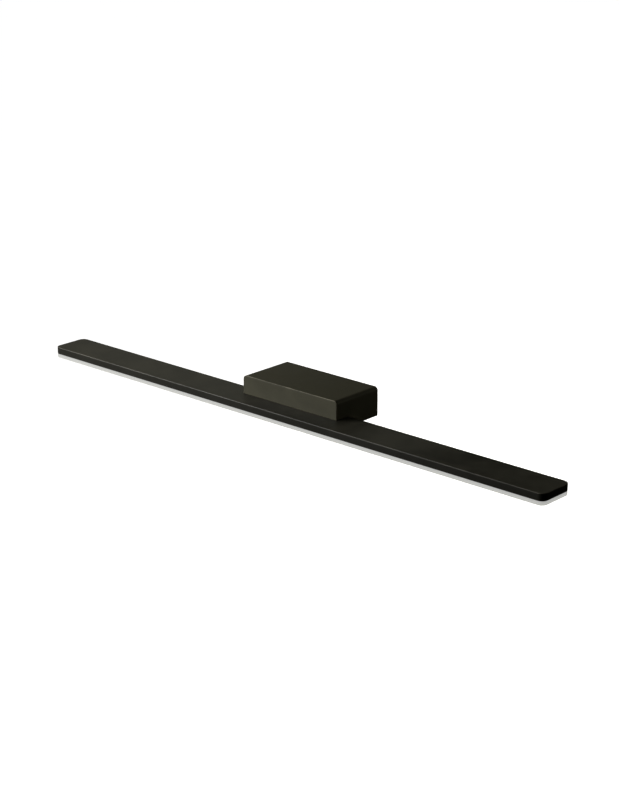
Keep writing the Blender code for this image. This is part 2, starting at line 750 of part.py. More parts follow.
def build_bar_fixings(shell, housing):
    """The screws that hold the bar under the canopy, the strip they bite into, and the grommet."""
    half = BAR_SCREW_SPAN / 2 + CLAMP_OVERHANG
    clamp = block(
        "bar_clamp_strip",
        (-half, BAR_SCREW_Y - CLAMP_DEPTH / 2, CLAMP_UNDERSIDE),
        (half, BAR_SCREW_Y + CLAMP_DEPTH / 2, CLAMP_TOP),
        ZINC,
        LAMP,
    )
    hole_start = CLAMP_UNDERSIDE - CLAMP_THICKNESS
    hole_depth = LEDGE_TOP - CLAMP_UNDERSIDE + 2 * CLAMP_THICKNESS
    washer_seat = LEDGE_TOP + GAP
    head_seat = washer_seat + WASHER_THICKNESS + GAP
    clear = SCREW_RADIUS + GAP
    for number, x in enumerate(BAR_SCREW_XS, start=1):
        hole = cylinder(f"bar_screw_hole_{number}", clear, (x, BAR_SCREW_Y, hole_start), hole_depth)
        for piece in (shell, housing, clamp):
            boolean(piece, hole)
        spot = (x, BAR_SCREW_Y, washer_seat)
        if number == 1:
            build_earth_ring(spot, clear)
        else:
            washer(f"bar_washer_{number}", clear, WASHER_RADIUS, WASHER_THICKNESS, spot, "+Z", LAMP)
        pan_screw(
            f"bar_screw_{number}",
            (x, BAR_SCREW_Y, head_seat),
            "+Z",
            SCREW_RADIUS,
            SCREW_HEAD_RADIUS,
            SCREW_HEAD_HEIGHT,
            head_seat - CLAMP_UNDERSIDE,
            LAMP,
        )
    hole = cylinder("lead_hole", LEAD_HOLE_RADIUS, (LEAD_X, BAR_SCREW_Y, hole_start), hole_depth)
    for piece in (shell, housing, clamp):
        boolean(piece, hole)
    barrel = LEAD_HOLE_RADIUS - GAP
    bore = OUTPUT_LEAD_SPREAD + OUTPUT_LEAD_RADIUS + GAP
    flange = LEAD_HOLE_RADIUS + GROMMET_FLANGE / 2
    profile = [
        (bore, CLAMP_UNDERSIDE - LEDGE_TOP),
        (barrel, CLAMP_UNDERSIDE - LEDGE_TOP),
        (barrel, GAP),
        (flange, GAP),
        (flange, GAP + GROMMET_FLANGE_THICKNESS),
        (bore, GAP + GROMMET_FLANGE_THICKNESS),
    ]
    turned("lead_grommet", profile, (LEAD_X, BAR_SCREW_Y, LEDGE_TOP), "+Z", RUBBER, LAMP)


def build_earth_ring(spot, bore):
    """The ring terminal of the earth lead, which lies under the first bar screw."""
    x, y, z = spot
    ring = cylinder(
        "earth_ring", WASHER_RADIUS, spot, WASHER_THICKNESS, material=ZINC, body=LAMP
    )
    reach = EARTH_RING_REACH
    tail = block(
        "earth_ring_tail",
        (x - MAINS_LEAD_RADIUS, y, z),
        (x + MAINS_LEAD_RADIUS, y + reach, z + WASHER_THICKNESS),
    )
    barrel = block(
        "earth_ring_barrel",
        (x - 1.4 * MAINS_LEAD_RADIUS, y + WASHER_RADIUS + GAP, z),
        (x + 1.4 * MAINS_LEAD_RADIUS, y + reach, z + 2.4 * MAINS_LEAD_RADIUS),
        bevels=[(along("Y", "Z", 1), 0.8 * MAINS_LEAD_RADIUS, 2)],
    )
    boolean(ring, tail, "UNION")
    boolean(ring, barrel, "UNION")
    hole = cylinder("earth_ring_hole", bore, (x, y, z - bore), 4 * bore)
    boolean(ring, hole)


# ---- Terminal block ------------------------------------------------------------------------


def build_terminal_block(shell):
    """The three-pole block on the canopy's floor, with a screw on each side of each pole."""
    floor = TERMINAL_BOTTOM
    base_top = floor + TERMINAL_BASE + TERMINAL_BORE + DRIVER_WALL
    terminal = block(
        "terminal_block",
        (TERMINAL_LEFT, TERMINAL_FRONT, floor),
        (TERMINAL_RIGHT, TERMINAL_BACK, base_top),
        CLEAR_NYLON,
        LAMP,
    )
    ear_left = TERMINAL_LEFT - TERMINAL_EAR
    ear_half = TERMINAL_EAR / 2
    ear = block(
        "terminal_ear",
        (ear_left, TERMINAL_Y - ear_half, floor),
        (TERMINAL_LEFT + ear_half, TERMINAL_Y + ear_half, floor + TERMINAL_EAR_THICKNESS),
        bevels=[(along("Z"), 0.3 * TERMINAL_EAR, 3)],
    )
    boolean(terminal, ear, "UNION")
    ear_top = floor + TERMINAL_EAR_THICKNESS
    fixing(shell, terminal, "terminal_block", ear_left + ear_half, TERMINAL_Y, ear_top)
    names = ("earth", "neutral", "live")
    half = TERMINAL_TOWER / 2
    for pole, x in zip(names, TERMINAL_XS):
        tower = block(
            f"terminal_tower_{pole}",
            (x - half, TERMINAL_FRONT + DRIVER_WALL, floor + TERMINAL_BASE),
            (x + half, TERMINAL_BACK - DRIVER_WALL, floor + TERMINAL_HEIGHT),
        )
        boolean(terminal, tower, "UNION")
    for pole, x in zip(names, TERMINAL_XS):
        start = (x, TERMINAL_BACK + TERMINAL_DEPTH, TERMINAL_BORE_Z)
        bore = cylinder(
            f"terminal_bore_{pole}", TERMINAL_BORE, start, 3 * TERMINAL_DEPTH, "-Y", sides=12
        )
        boolean(terminal, bore)
        for end, sign in (("supply", 1), ("load", -1)):
            y = TERMINAL_Y + sign * TERMINAL_SCREW_SPREAD
            build_terminal_screw(terminal, f"{pole}_{end}", x, y, floor + TERMINAL_HEIGHT)


def build_terminal_screw(terminal, label, x, y, top):
    """One slotted clamp screw, sunk a little below the top of its tower."""
    hole = cylinder(
        f"terminal_screw_hole_{label}",
        SMALL_SCREW_RADIUS + GAP,
        (x, y, TERMINAL_BORE_Z),
        TERMINAL_HEIGHT,
        sides=12,
    )
    boolean(terminal, hole)
    screw_top = top - GAP
    screw = cylinder(
        f"terminal_screw_{label}",
        SMALL_SCREW_RADIUS,
        (x, y, screw_top - TERMINAL_SCREW_LENGTH),
        TERMINAL_SCREW_LENGTH,
        material=BRASS,
        body=LAMP,
        sides=12,
    )
    recess(screw, "slot", 1.5 * SMALL_SCREW_RADIUS, SMALL_SCREW_RADIUS / 2, (x, y, screw_top), "+Z")


def fixing(shell, piece, label, x, y, seat):
    """A small screw down through a piece's ear and into the canopy's floor."""
    hole = cylinder(
        f"{label}_fixing_hole",
        SMALL_SCREW_RADIUS + GAP,
        (x, y, CANOPY_BOTTOM - CANOPY_WALL),
        seat - CANOPY_BOTTOM + 3 * CANOPY_WALL,
        sides=12,
    )
    boolean(shell, hole)
    boolean(piece, hole)
    pan_screw(
        f"{label}_fixing_screw",
        (x, y, seat + GAP),
        "+Z",
        SMALL_SCREW_RADIUS,
        SMALL_HEAD_RADIUS,
        SMALL_HEAD_HEIGHT,
        seat + GAP - CANOPY_BOTTOM - GAP,
        LAMP,
        steps=12,
    )


# ---- Driver --------------------------------------------------------------------------------


def build_driver_case(shell):
    """The driver's tray with its two ears, and its lid."""
    tray = block(
        "driver_tray",
        (DRIVER_LEFT, DRIVER_FRONT, DRIVER_BOTTOM),
        (DRIVER_RIGHT, DRIVER_BACK, DRIVER_RIM),
        WHITE_PLASTIC,
        LAMP,
        [(along("Z"), DRIVER_WALL, 2)],
    )
    ear_top = DRIVER_BOTTOM + DRIVER_EAR_THICKNESS
    ear_half = DRIVER_EAR / 2
    for side, edge, sign in (("left", DRIVER_LEFT, -1), ("right", DRIVER_RIGHT, 1)):
        ends = sorted((edge - sign * DRIVER_WALL / 2, edge + sign * DRIVER_EAR))
        ear = block(
            f"driver_ear_{side}",
            (ends[0], DRIVER_Y - ear_half, DRIVER_BOTTOM),
            (ends[1], DRIVER_Y + ear_half, ear_top),
        )
        boolean(tray, ear, "UNION")
        fixing(shell, tray, f"driver_{side}", edge + sign * ear_half, DRIVER_Y, ear_top)
    wall = DRIVER_WALL
    upper_room = block(
        "driver_upper_room",
        (DRIVER_LEFT + wall, DRIVER_FRONT + wall, DRIVER_RAIL_TOP),
        (DRIVER_RIGHT - wall, DRIVER_BACK - wall, DRIVER_RIM + wall),
    )
    inset = wall + DRIVER_RAIL
    lower_room = block(
        "driver_lower_room",
        (DRIVER_LEFT + inset, DRIVER_FRONT + inset, DRIVER_FLOOR),
        (DRIVER_RIGHT - inset, DRIVER_BACK - inset, DRIVER_RIM),
    )
    boolean(tray, upper_room)
    boolean(tray, lower_room)
    for label, x, ys, radius in (
        ("mains", DRIVER_LEFT, MAINS_ENTRY_YS, MAINS_LEAD_RADIUS),
        ("output", DRIVER_RIGHT, OUTPUT_ENTRY_YS, OUTPUT_LEAD_RADIUS),
    ):
        for index, y in enumerate(ys):
            start = (x - 2 * wall, y, DRIVER_LEAD_Z)
            bore = radius + GAP
            entry = cylinder(f"{label}_entry_{index}", bore, start, 4 * wall, "+X", sides=12)
            boolean(tray, entry)
    lid = block(
        "driver_lid",
        (DRIVER_LEFT, DRIVER_FRONT, DRIVER_RIM + GAP),
        (DRIVER_RIGHT, DRIVER_BACK, DRIVER_RIM + GAP + DRIVER_LID_THICKNESS),
        WHITE_PLASTIC,
        LAMP,
        [(along("Z"), DRIVER_WALL, 2)],
    )
    inset = wall + GAP
    plug = block(
        "driver_lid_plug",
        (DRIVER_LEFT + inset, DRIVER_FRONT + inset, DRIVER_RIM - DRIVER_LID_PLUG),
        (DRIVER_RIGHT - inset, DRIVER_BACK - inset, DRIVER_RIM + 2 * GAP),
    )
    boolean(lid, plug, "UNION")


def build_driver_board():
    """The driver's circuit board and the parts that stand on it."""
    inset = DRIVER_WALL + GAP
    block(
        "driver_board",
        (DRIVER_LEFT + inset, DRIVER_FRONT + inset, DRIVER_RAIL_TOP + GAP),
        (DRIVER_RIGHT - inset, DRIVER_BACK - inset, DRIVER_BOARD_TOP),
        CIRCUIT,
        LAMP,
    )
    seat = DRIVER_BOARD_TOP + GAP
    length = DRIVER_RIGHT - DRIVER_LEFT
    input_x, transformer_x, output_x = [DRIVER_LEFT + share * length for share in COLUMN_SHARES]
    behind = DRIVER_Y + BACK_ROW
    before = DRIVER_Y - FRONT_ROW
    half = [side / 2 for side in TRANSFORMER_SIZE]
    core = block(
        "driver_transformer",
        (transformer_x - half[0], DRIVER_Y - half[1], seat),
        (transformer_x + half[0], DRIVER_Y + half[1], seat + TRANSFORMER_SIZE[2]),
        FERRITE,
        LAMP,
    )
    band = TRANSFORMER_CORE_BAND / 2
    proud = BOBBIN_PROUD
    bobbin_top = seat + TRANSFORMER_SIZE[2] - proud
    bobbin = block(
        "transformer_bobbin",
        (transformer_x - band, DRIVER_Y - half[1] - proud, seat + proud),
        (transformer_x + band, DRIVER_Y + half[1] + proud, bobbin_top),
        bevels=[(along("X"), proud, 2)],
    )
    boolean(core, bobbin, "UNION")
    for name, x, y, (radius, height), material in (
        ("driver_choke", input_x, behind, (CHOKE_RADIUS, CHOKE_HEIGHT), FERRITE),
        ("driver_input_capacitor", input_x, before, INPUT_CAPACITOR, SLEEVE),
        ("driver_output_capacitor", output_x, behind, OUTPUT_CAPACITOR, SLEEVE),
    ):
        cylinder(name, radius, (x, y, seat), height, material=material, body=LAMP)
    half = [side / 2 for side in RECTIFIER_SIZE]
    block(
        "driver_rectifier",
        (output_x - half[0], before - half[1], seat),
        (output_x + half[0], before + half[1], seat + RECTIFIER_SIZE[2]),
        FERRITE,
        LAMP,
    )


# ---- Leads ---------------------------------------------------------------------------------


def build_leads():
    """The short leads inside the canopy: mains in, earth, and the pair down to the LEDs."""
    earth_x, neutral_x, live_x = TERMINAL_XS
    exit_y = TERMINAL_FRONT - GAP
    into_driver = DRIVER_LEFT + LEAD_ENTRY
    rise = DRIVER_LEAD_Z
    for name, x, entry_y, material in (
        ("mains_lead_live", live_x, MAINS_ENTRY_YS[1], BROWN_LEAD),
        ("mains_lead_neutral", neutral_x, MAINS_ENTRY_YS[0], BLUE_LEAD),
    ):
        near = DRIVER_LEFT - DRIVER_WALL
        bend_y = max(min(exit_y - LEAD_BEND, entry_y), RISER_INSIDE + 2 * MAINS_LEAD_RADIUS)
        lead(
            name,
            [
                (x, exit_y, TERMINAL_BORE_Z),
                (x, exit_y - LEAD_STUB, TERMINAL_BORE_Z),
                ((2 * x + near) / 3, bend_y, (TERMINAL_BORE_Z + rise) / 2),
                (near - LEAD_BEND, entry_y, rise),
                (near, entry_y, rise),
                (into_driver, entry_y, rise),
            ],
            MAINS_LEAD_RADIUS,
            material,
            LAMP,
        )
    ring_x = BAR_SCREW_XS[0]
    ring_end = BAR_SCREW_Y + EARTH_RING_REACH + GAP
    ring_z = LEDGE_TOP + GAP + 1.2 * MAINS_LEAD_RADIUS
    swing_y = max(exit_y - EARTH_SWING, (exit_y + RISER_INSIDE) / 2)
    lead(
        "earth_lead",
        [
            (earth_x, exit_y, TERMINAL_BORE_Z),
            (earth_x, exit_y - LEAD_STUB, TERMINAL_BORE_Z),
            ((earth_x + ring_x) / 2, swing_y, (TERMINAL_BORE_Z + ring_z) / 2),
            (ring_x, RISER_INSIDE + RISER_CLEARANCE, ring_z),
            (ring_x, ring_end + LEAD_STUB, ring_z),
            (ring_x, ring_end, ring_z),
        ],
        MAINS_LEAD_RADIUS,
        EARTH_LEAD,
        LAMP,
    )
    out_of_driver = DRIVER_RIGHT - LEAD_ENTRY
    turn_x = DRIVER_RIGHT + DRIVER_EAR / 2
    above_grommet = LEDGE_TOP + GROMMET_FLANGE_THICKNESS + 3 * OUTPUT_LEAD_RADIUS
    over_ledge = above_grommet + OUTPUT_RISE
    below = LED_BOARD_UNDERSIDE - GAP - CONNECTOR_SIZE[2] / 2
    for name, sign, entry_y, material in (
        ("output_lead_positive", 1, OUTPUT_ENTRY_YS[0], RED_LEAD),
        ("output_lead_negative", -1, OUTPUT_ENTRY_YS[1], BLACK_LEAD),
    ):
        x = LEAD_X + sign * OUTPUT_LEAD_SPREAD
        crossing = OUTPUT_CROSSING * sign
        lead(
            name,
            [
                (out_of_driver, entry_y, DRIVER_LEAD_Z),
                (DRIVER_RIGHT + OUTPUT_LEAD_RADIUS, entry_y, DRIVER_LEAD_Z),
                (turn_x, entry_y - OUTPUT_TURN, DRIVER_LEAD_Z + OUTPUT_TURN),
                (turn_x, RISER_INSIDE - OUTPUT_AHEAD, over_ledge - crossing),
                ((turn_x + x) / 2, BAR_SCREW_Y + OUTPUT_BEHIND, over_ledge - crossing),
                (x + OUTPUT_TURN, BAR_SCREW_Y, above_grommet + OUTPUT_DROP - crossing),
                (x, BAR_SCREW_Y, above_grommet),
                (x, BAR_SCREW_Y, above_grommet - OUTPUT_LEAD_RADIUS),
                (x, BAR_SCREW_Y, CLAMP_UNDERSIDE),
                (x, BAR_SCREW_Y, CLAMP_UNDERSIDE - OUTPUT_LEAD_RADIUS),
                (x, (BAR_SCREW_Y + LED_BOARD_REAR) / 2, below),
                (x, LED_BOARD_REAR + GAP, below),
            ],
            OUTPUT_LEAD_RADIUS,
            material,
            LAMP,
        )


# ---- Assembly ------------------------------------------------------------------------------

build_bracket()
canopy = build_canopy()
build_locks(canopy)
bar = build_housing()
build_diffuser()
build_led_board("left", -1)
build_led_board("right", 1)
build_board_connectors()
build_bar_fixings(canopy, bar)
build_terminal_block(canopy)
build_driver_case(canopy)
build_driver_board()
build_leads()
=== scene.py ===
"""Looks of an LED vanity light bar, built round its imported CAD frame.

Each sub-assembly is a class that holds its sizes and builds finished pieces in place of the
CAD nodes. The wall is the plane Y = 0, the light stands out towards -Y, X runs along the bar
and Z is up, all in metres.
"""

import logging
import math
from collections.abc import Callable, Sequence
from dataclasses import dataclass, field
from enum import Enum

import bmesh
import bpy
import numpy as np
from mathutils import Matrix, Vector


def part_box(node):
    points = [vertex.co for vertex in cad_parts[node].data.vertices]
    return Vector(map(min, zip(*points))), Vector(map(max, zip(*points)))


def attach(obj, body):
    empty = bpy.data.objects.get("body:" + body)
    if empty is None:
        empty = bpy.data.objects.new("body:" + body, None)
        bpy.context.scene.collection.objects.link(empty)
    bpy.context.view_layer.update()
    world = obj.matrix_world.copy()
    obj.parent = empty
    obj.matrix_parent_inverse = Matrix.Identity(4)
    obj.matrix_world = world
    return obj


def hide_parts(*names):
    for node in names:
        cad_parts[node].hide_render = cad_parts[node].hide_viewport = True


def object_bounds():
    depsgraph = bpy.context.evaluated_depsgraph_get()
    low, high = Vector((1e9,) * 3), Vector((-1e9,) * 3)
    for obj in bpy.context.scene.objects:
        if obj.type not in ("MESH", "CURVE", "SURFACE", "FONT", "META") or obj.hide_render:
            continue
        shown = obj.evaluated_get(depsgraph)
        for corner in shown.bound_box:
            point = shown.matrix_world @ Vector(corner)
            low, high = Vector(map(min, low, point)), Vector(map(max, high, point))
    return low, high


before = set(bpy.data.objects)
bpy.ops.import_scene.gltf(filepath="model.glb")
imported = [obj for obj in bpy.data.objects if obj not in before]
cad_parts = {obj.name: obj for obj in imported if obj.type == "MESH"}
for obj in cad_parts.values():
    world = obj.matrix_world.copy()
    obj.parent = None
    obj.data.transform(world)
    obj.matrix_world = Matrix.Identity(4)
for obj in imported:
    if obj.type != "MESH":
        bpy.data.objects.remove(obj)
CAD_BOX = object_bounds()

LOG = logging.getLogger("vanity_light_bar")
GAP = 0.0003
MERGE = 1e-7
QUARTER = math.pi / 2
FULL_TURN = 2 * math.pi
RIM_HIGHLIGHT_ATTRIBUTE = "edge"
LEAD_UV = "along"
LEAD_HOLE = 0.004
LEAD_GROMMET = "lead_grommet"
BAR_SCREWS = tuple(f"bar_screw_{number}" for number in range(1, 5))
FIXING_SCREWS = ("terminal_block_fixing_screw", "driver_left_fixing_screw",
                 "driver_right_fixing_screw")
LOCK_SCREWS = ("lock_screw_left", "lock_screw_right")

Colour = tuple[float, float, float]
Point = tuple[float, float, float]
Mesh = bpy.types.Mesh
Node = bpy.types.Node
Socket = bpy.types.NodeSocket
Tree = bpy.types.NodeTree


class Body(str, Enum):
    """The CAD bodies that pieces ride on."""

    BRACKET = "wall_bracket"
    LAMP = "lamp"
    LOCK_LEFT = "lock_screw_left"
    LOCK_RIGHT = "lock_screw_right"


class Plane(Enum):
    """Where a flat outline lies, and so which axis its height runs along."""

    ACROSS_Z = (0, 1, 2)
    ACROSS_Y = (0, 2, 1)
    ACROSS_X = (1, 2, 0)


# ---- Surfaces ------------------------------------------------------------------------------


def rounded_outline(
    half: tuple[float, float], radii: Sequence[float], inset: np.ndarray, steps: int
) -> np.ndarray:
    """Outlines of a rounded rectangle, one for each inset.

    A point is its corner's centre plus radius times (cos, sin). An inset smaller than the
    radius keeps the centre and shortens the radius, and a larger one moves a sharp corner in.

    Args:
        half: half the length and half the breadth.
        radii: corner radii, anticlockwise from the corner where both axes are positive.
        inset: how far each outline is set in from the edge.
        steps: spans in each corner.

    Returns:
        Points of shape (insets, 4 * (steps + 1), 2).
    """
    turn = np.linspace(0, QUARTER, steps + 1)[None, None, :]
    angle = turn + QUARTER * np.arange(4)[None, :, None]
    sign_a = np.array([1, -1, -1, 1])[None, :, None]
    sign_b = np.array([1, 1, -1, -1])[None, :, None]
    inset = np.asarray(inset, float)[:, None, None]
    corner = np.asarray(radii, float)[None, :, None]
    radius = np.maximum(corner - inset, 0)
    centre = np.maximum(corner, inset)
    a = sign_a * (half[0] - centre) + radius * np.cos(angle)
    b = sign_b * (half[1] - centre) + radius * np.sin(angle)
    return np.stack([a, b], axis=-1).reshape(len(inset), -1, 2)


def lay_out(outline: np.ndarray, height: np.ndarray, plane: Plane, centre: Point) -> np.ndarray:
    """Puts flat outlines into space: each row lies at its own height on the chosen plane."""
    rows, columns, _ = outline.shape
    points = np.empty((rows, columns, 3))
    first, second, third = plane.value
    points[..., first] = outline[..., 0] + centre[first]
    points[..., second] = outline[..., 1] + centre[second]
    points[..., third] = np.asarray(height, float)[:, None]
    return points


def grid_quads(rows: int, columns: int, wrap_rows: bool, wrap_columns: bool) -> np.ndarray:
    """Corner numbers of the quads of a grid: (i, j), (i, j+1), (i+1, j+1), (i+1, j)."""
    i, j = np.meshgrid(
        np.arange(rows if wrap_rows else rows - 1),
        np.arange(columns if wrap_columns else columns - 1),
        indexing="ij",
    )
    below, beside = (i + 1) % rows, (j + 1) % columns
    corners = [(i, j), (i, beside), (below, beside), (below, j)]
    numbers = [row * columns + column for row, column in corners]
    return np.stack(numbers, axis=-1).reshape(-1, 4)


def tidy_mesh(mesh: Mesh, sharp: float) -> Mesh:
    """Merges a mesh's doubles, turns its faces outwards and shades it smooth up to an angle."""
    shape = bmesh.new()
    shape.from_mesh(mesh)
    bmesh.ops.remove_doubles(shape, verts=shape.verts, dist=MERGE)
    bmesh.ops.dissolve_degenerate(shape, edges=shape.edges, dist=MERGE)
    bmesh.ops.recalc_face_normals(shape, faces=shape.faces)
    shape.to_mesh(mesh)
    shape.free()
    mesh.shade_smooth()
    mesh.set_sharp_from_angle(angle=math.radians(sharp))
    return mesh


def grid_mesh(
    name: str,
    points: np.ndarray,
    wrap_rows: bool = False,
    wrap_columns: bool = True,
    sharp: float = 32.0,
) -> Mesh:
    """A mesh from a grid of points. End rows that shrink to a line or a point close it."""
    rows, columns, _ = points.shape
    mesh = bpy.data.meshes.new(name)
    quads = grid_quads(rows, columns, wrap_rows, wrap_columns)
    mesh.from_pydata(points.reshape(-1, 3).tolist(), [], quads.tolist())
    return tidy_mesh(mesh, sharp)


def arc_profile(
    centre: tuple[float, float], radius: float, start: float, end: float, steps: int
) -> np.ndarray:
    """Points on an arc: centre plus radius times (cos, sin), between two angles in degrees."""
    angle = np.radians(np.linspace(start, end, steps + 1))
    return np.column_stack([centre[0] + radius * np.cos(angle), centre[1] + radius * np.sin(angle)])


def block_mesh(name: str, low: Point, high: Point, plane: Plane = Plane.ACROSS_Z,
               corner: float | Sequence[float] = 0.0, edge: float = 0.0,
               steps: int = 4) -> Mesh:
    """A block between two corners, with rounded upright corners and rounded rims.

    Args:
        name: the mesh's name.
        low: the corner with the smallest coordinates.
        high: the corner with the largest coordinates.
        plane: the plane of the outline that is carried through the block.
        corner: the outline's corner radius, or its four radii in rounded_outline's order.
        edge: radius of the rims round both end faces.
        steps: spans in each rounded corner and rim.

    Returns:
        The finished mesh.
    """
    first, second, third = plane.value
    half = ((high[first] - low[first]) / 2, (high[second] - low[second]) / 2)
    centre = tuple((a + b) / 2 for a, b in zip(low, high))
    full = min(half)
    bottom, top = low[third], high[third]
    radii = [corner] * 4 if isinstance(corner, float) else corner
    if edge:
        soft = 1.6 * edge
        rise = arc_profile((edge, bottom + edge), edge, 270, 180, steps)
        fall = arc_profile((edge, top - edge), edge, 180, 90, steps)
        profile = np.vstack([[full, bottom], [soft, bottom], rise, fall, [soft, top], [full, top]])
    else:
        profile = np.array([[full, bottom], [0, bottom], [0, top], [full, top]])
    outline = rounded_outline(half, radii, profile[:, 0], steps if any(radii) else 1)
    return grid_mesh(name, lay_out(outline, profile[:, 1], plane, centre))


def round_mesh(name: str, radius: np.ndarray, height: np.ndarray, foot: Point, plane: Plane,
               towards: float = 1.0, closed: bool = False) -> Mesh:
    """A surface round an axis: radius(height, angle), with the axis through the point foot."""
    angle = np.linspace(0, FULL_TURN, radius.shape[1], endpoint=False)
    outline = radius[..., None] * np.stack([np.cos(angle), np.sin(angle)], axis=-1)
    height = foot[plane.value[2]] + towards * np.asarray(height)
    return grid_mesh(name, lay_out(outline, height, plane, foot), wrap_rows=closed)


def turned_mesh(name: str, profile: np.ndarray, foot: Point, plane: Plane, sides: int = 32,
                towards: float = 1.0, closed: bool = False) -> Mesh:
    """A turned piece: (radius, height) swept round an axis through the point foot."""
    profile = np.asarray(profile, float)
    radius = np.repeat(profile[:, :1], sides, axis=1)
    return round_mesh(name, radius, profile[:, 1], foot, plane, towards, closed)


def bore_mesh(spot: Point, radius: float, reach: float, plane: Plane,
              sides: int = 24) -> Mesh:
    """A straight cutter through a point, which reaches the same way on both sides of it."""
    profile = [[0, -reach], [radius, -reach], [radius, reach], [0, reach]]
    return turned_mesh("bore", profile, spot, plane, sides)


def wave(phase: np.ndarray) -> np.ndarray:
    """A triangle wave, 0 to 1, with one rise and fall for each whole step of phase."""
    return np.abs(2 * (phase % 1) - 1)


def smooth_route(points: Sequence[Point], steps: int = 8) -> np.ndarray:
    """Points on the Catmull-Rom curve through a route's own points."""
    spots = np.array([points[0], *points, points[-1]], float)
    before, start, end, after = spots[:-3], spots[1:-2], spots[2:-1], spots[3:]
    t = (np.arange(steps) / steps)[None, :, None]
    terms = (2 * start, end - before, 2 * before - 5 * start + 4 * end - after,
             3 * start - before - 3 * end + after)
    route = sum(term[:, None] * t**power for power, term in enumerate(terms)) / 2
    return np.vstack([route.reshape(-1, 3), spots[-1]])


def tube_mesh(name: str, points: Sequence[Point], radius: float, sides: int = 14,
              turn_length: float = 0.012) -> Mesh:
    """A tube along a smooth route. Its UV map runs round it and down its length.

    Each ring is the route's point plus radius times (side cos + up sin), where side and up are
    carried from point to point by the smallest turn. A small ring at each end rounds the cut.

    Args:
        name: the mesh's name.
        points: the route's own points.
        radius: the tube's radius.
        sides: points in each ring.
        turn_length: length of tube for each step of 1 in V.

    Returns:
        The finished mesh.
    """
    route = smooth_route(points)
    ahead = np.gradient(route, axis=0)
    ahead /= np.linalg.norm(ahead, axis=1)[:, None]
    side = np.empty_like(route)
    carried = Vector(ahead[0]).orthogonal().normalized()
    for index, direction in enumerate(ahead):
        heading = Vector(direction)
        carried = (carried - heading * carried.dot(heading)).normalized()
        side[index] = carried
    up = np.cross(ahead, side)
    angle = np.linspace(0, FULL_TURN, sides, endpoint=False)
    ring = np.cos(angle)[None, :, None] * side[:, None] + np.sin(angle)[None, :, None] * up[:, None]
    tight, short = 0.8 * radius, 0.2 * radius
    start, end = route[:1, None], route[-1:, None]
    grid = np.vstack([
        start + 0 * ring[:1], start + tight * ring[:1],
        start + radius * ring[:1] + short * ahead[:1, None],
        route[1:-1, None] + radius * ring[1:-1],
        end + radius * ring[-1:] - short * ahead[-1:, None],
        end + tight * ring[-1:], end + 0 * ring[-1:],
    ])
    steps = np.linalg.norm(np.diff(grid.mean(axis=1), axis=0), axis=1)
    far = np.concatenate([[0], np.cumsum(steps)])
    mesh = bpy.data.meshes.new(name)
    quads = grid_quads(len(grid), sides, False, True)
    mesh.from_pydata(grid.reshape(-1, 3).tolist(), [], quads.tolist())
    row, column = np.divmod(np.arange(len(quads)), sides)
    u = np.stack([column, column + 1, column + 1, column], axis=-1) / sides
    v = np.stack([far[row], far[row], far[row + 1], far[row + 1]], axis=-1) / turn_length
    layer = mesh.uv_layers.new(name=LEAD_UV)
    layer.data.foreach_set("uv", np.stack([u, v], axis=-1).astype(np.float32).ravel())
    return tidy_mesh(mesh, 60.0)


def repeat_mesh(name: str, mesh: Mesh, offsets: np.ndarray) -> Mesh:
    """Copies of one mesh at several offsets, in one mesh."""
    points = np.empty(3 * len(mesh.vertices))
    mesh.vertices.foreach_get("co", points)
    points = points.reshape(-1, 3)
    spots = (points[None] + offsets[:, None]).reshape(-1, 3)
    faces = [[corner + shift for corner in face.vertices]
             for shift in range(0, len(spots), len(points)) for face in mesh.polygons]
    made = bpy.data.meshes.new(name)
    made.from_pydata(spots.tolist(), [], faces)
    bpy.data.meshes.remove(mesh)
    return tidy_mesh(made, 32.0)


def carve(mesh: Mesh, cutters: Sequence[Mesh],
          joins: Sequence[Mesh] = (), sharp: float = 32.0) -> Mesh:
    """Adds the joins to a mesh, then takes the cutters out of it, with exact Booleans."""
    target = bpy.data.objects.new("carved", mesh)
    steps = [("UNION", join) for join in joins] + [("DIFFERENCE", cutter) for cutter in cutters]
    helpers = [bpy.data.objects.new("helper", other) for _, other in steps]
    for thing in (target, *helpers):
        bpy.context.scene.collection.objects.link(thing)
    for (operation, _), helper in zip(steps, helpers):
        modifier = target.modifiers.new("step", "BOOLEAN")
        modifier.operation = operation
        modifier.solver = "EXACT"
        modifier.object = helper
    graph = bpy.context.evaluated_depsgraph_get()
    made = bpy.data.meshes.new_from_object(target.evaluated_get(graph))
    for thing in (target, *helpers):
        bpy.data.objects.remove(thing)
    for used in (mesh, *cutters, *joins):
        bpy.data.meshes.remove(used)
    return tidy_mesh(made, sharp)


def mark_highlight_rims(mesh: Mesh, closeness: Callable[[np.ndarray], np.ndarray]) -> None:
    """Stores how near each point is to a rim, 0 to 1, as the mask of a painted rim highlight."""
    points = np.empty(len(mesh.vertices) * 3, np.float32)
    mesh.vertices.foreach_get("co", points)
    mask = np.clip(closeness(points.reshape(-1, 3)), 0, 1).astype(np.float32)
    mesh.attributes.new(RIM_HIGHLIGHT_ATTRIBUTE, "FLOAT", "POINT").data.foreach_set("value", mask)


# ---- Node tools ----------------------------------------------------------------------------


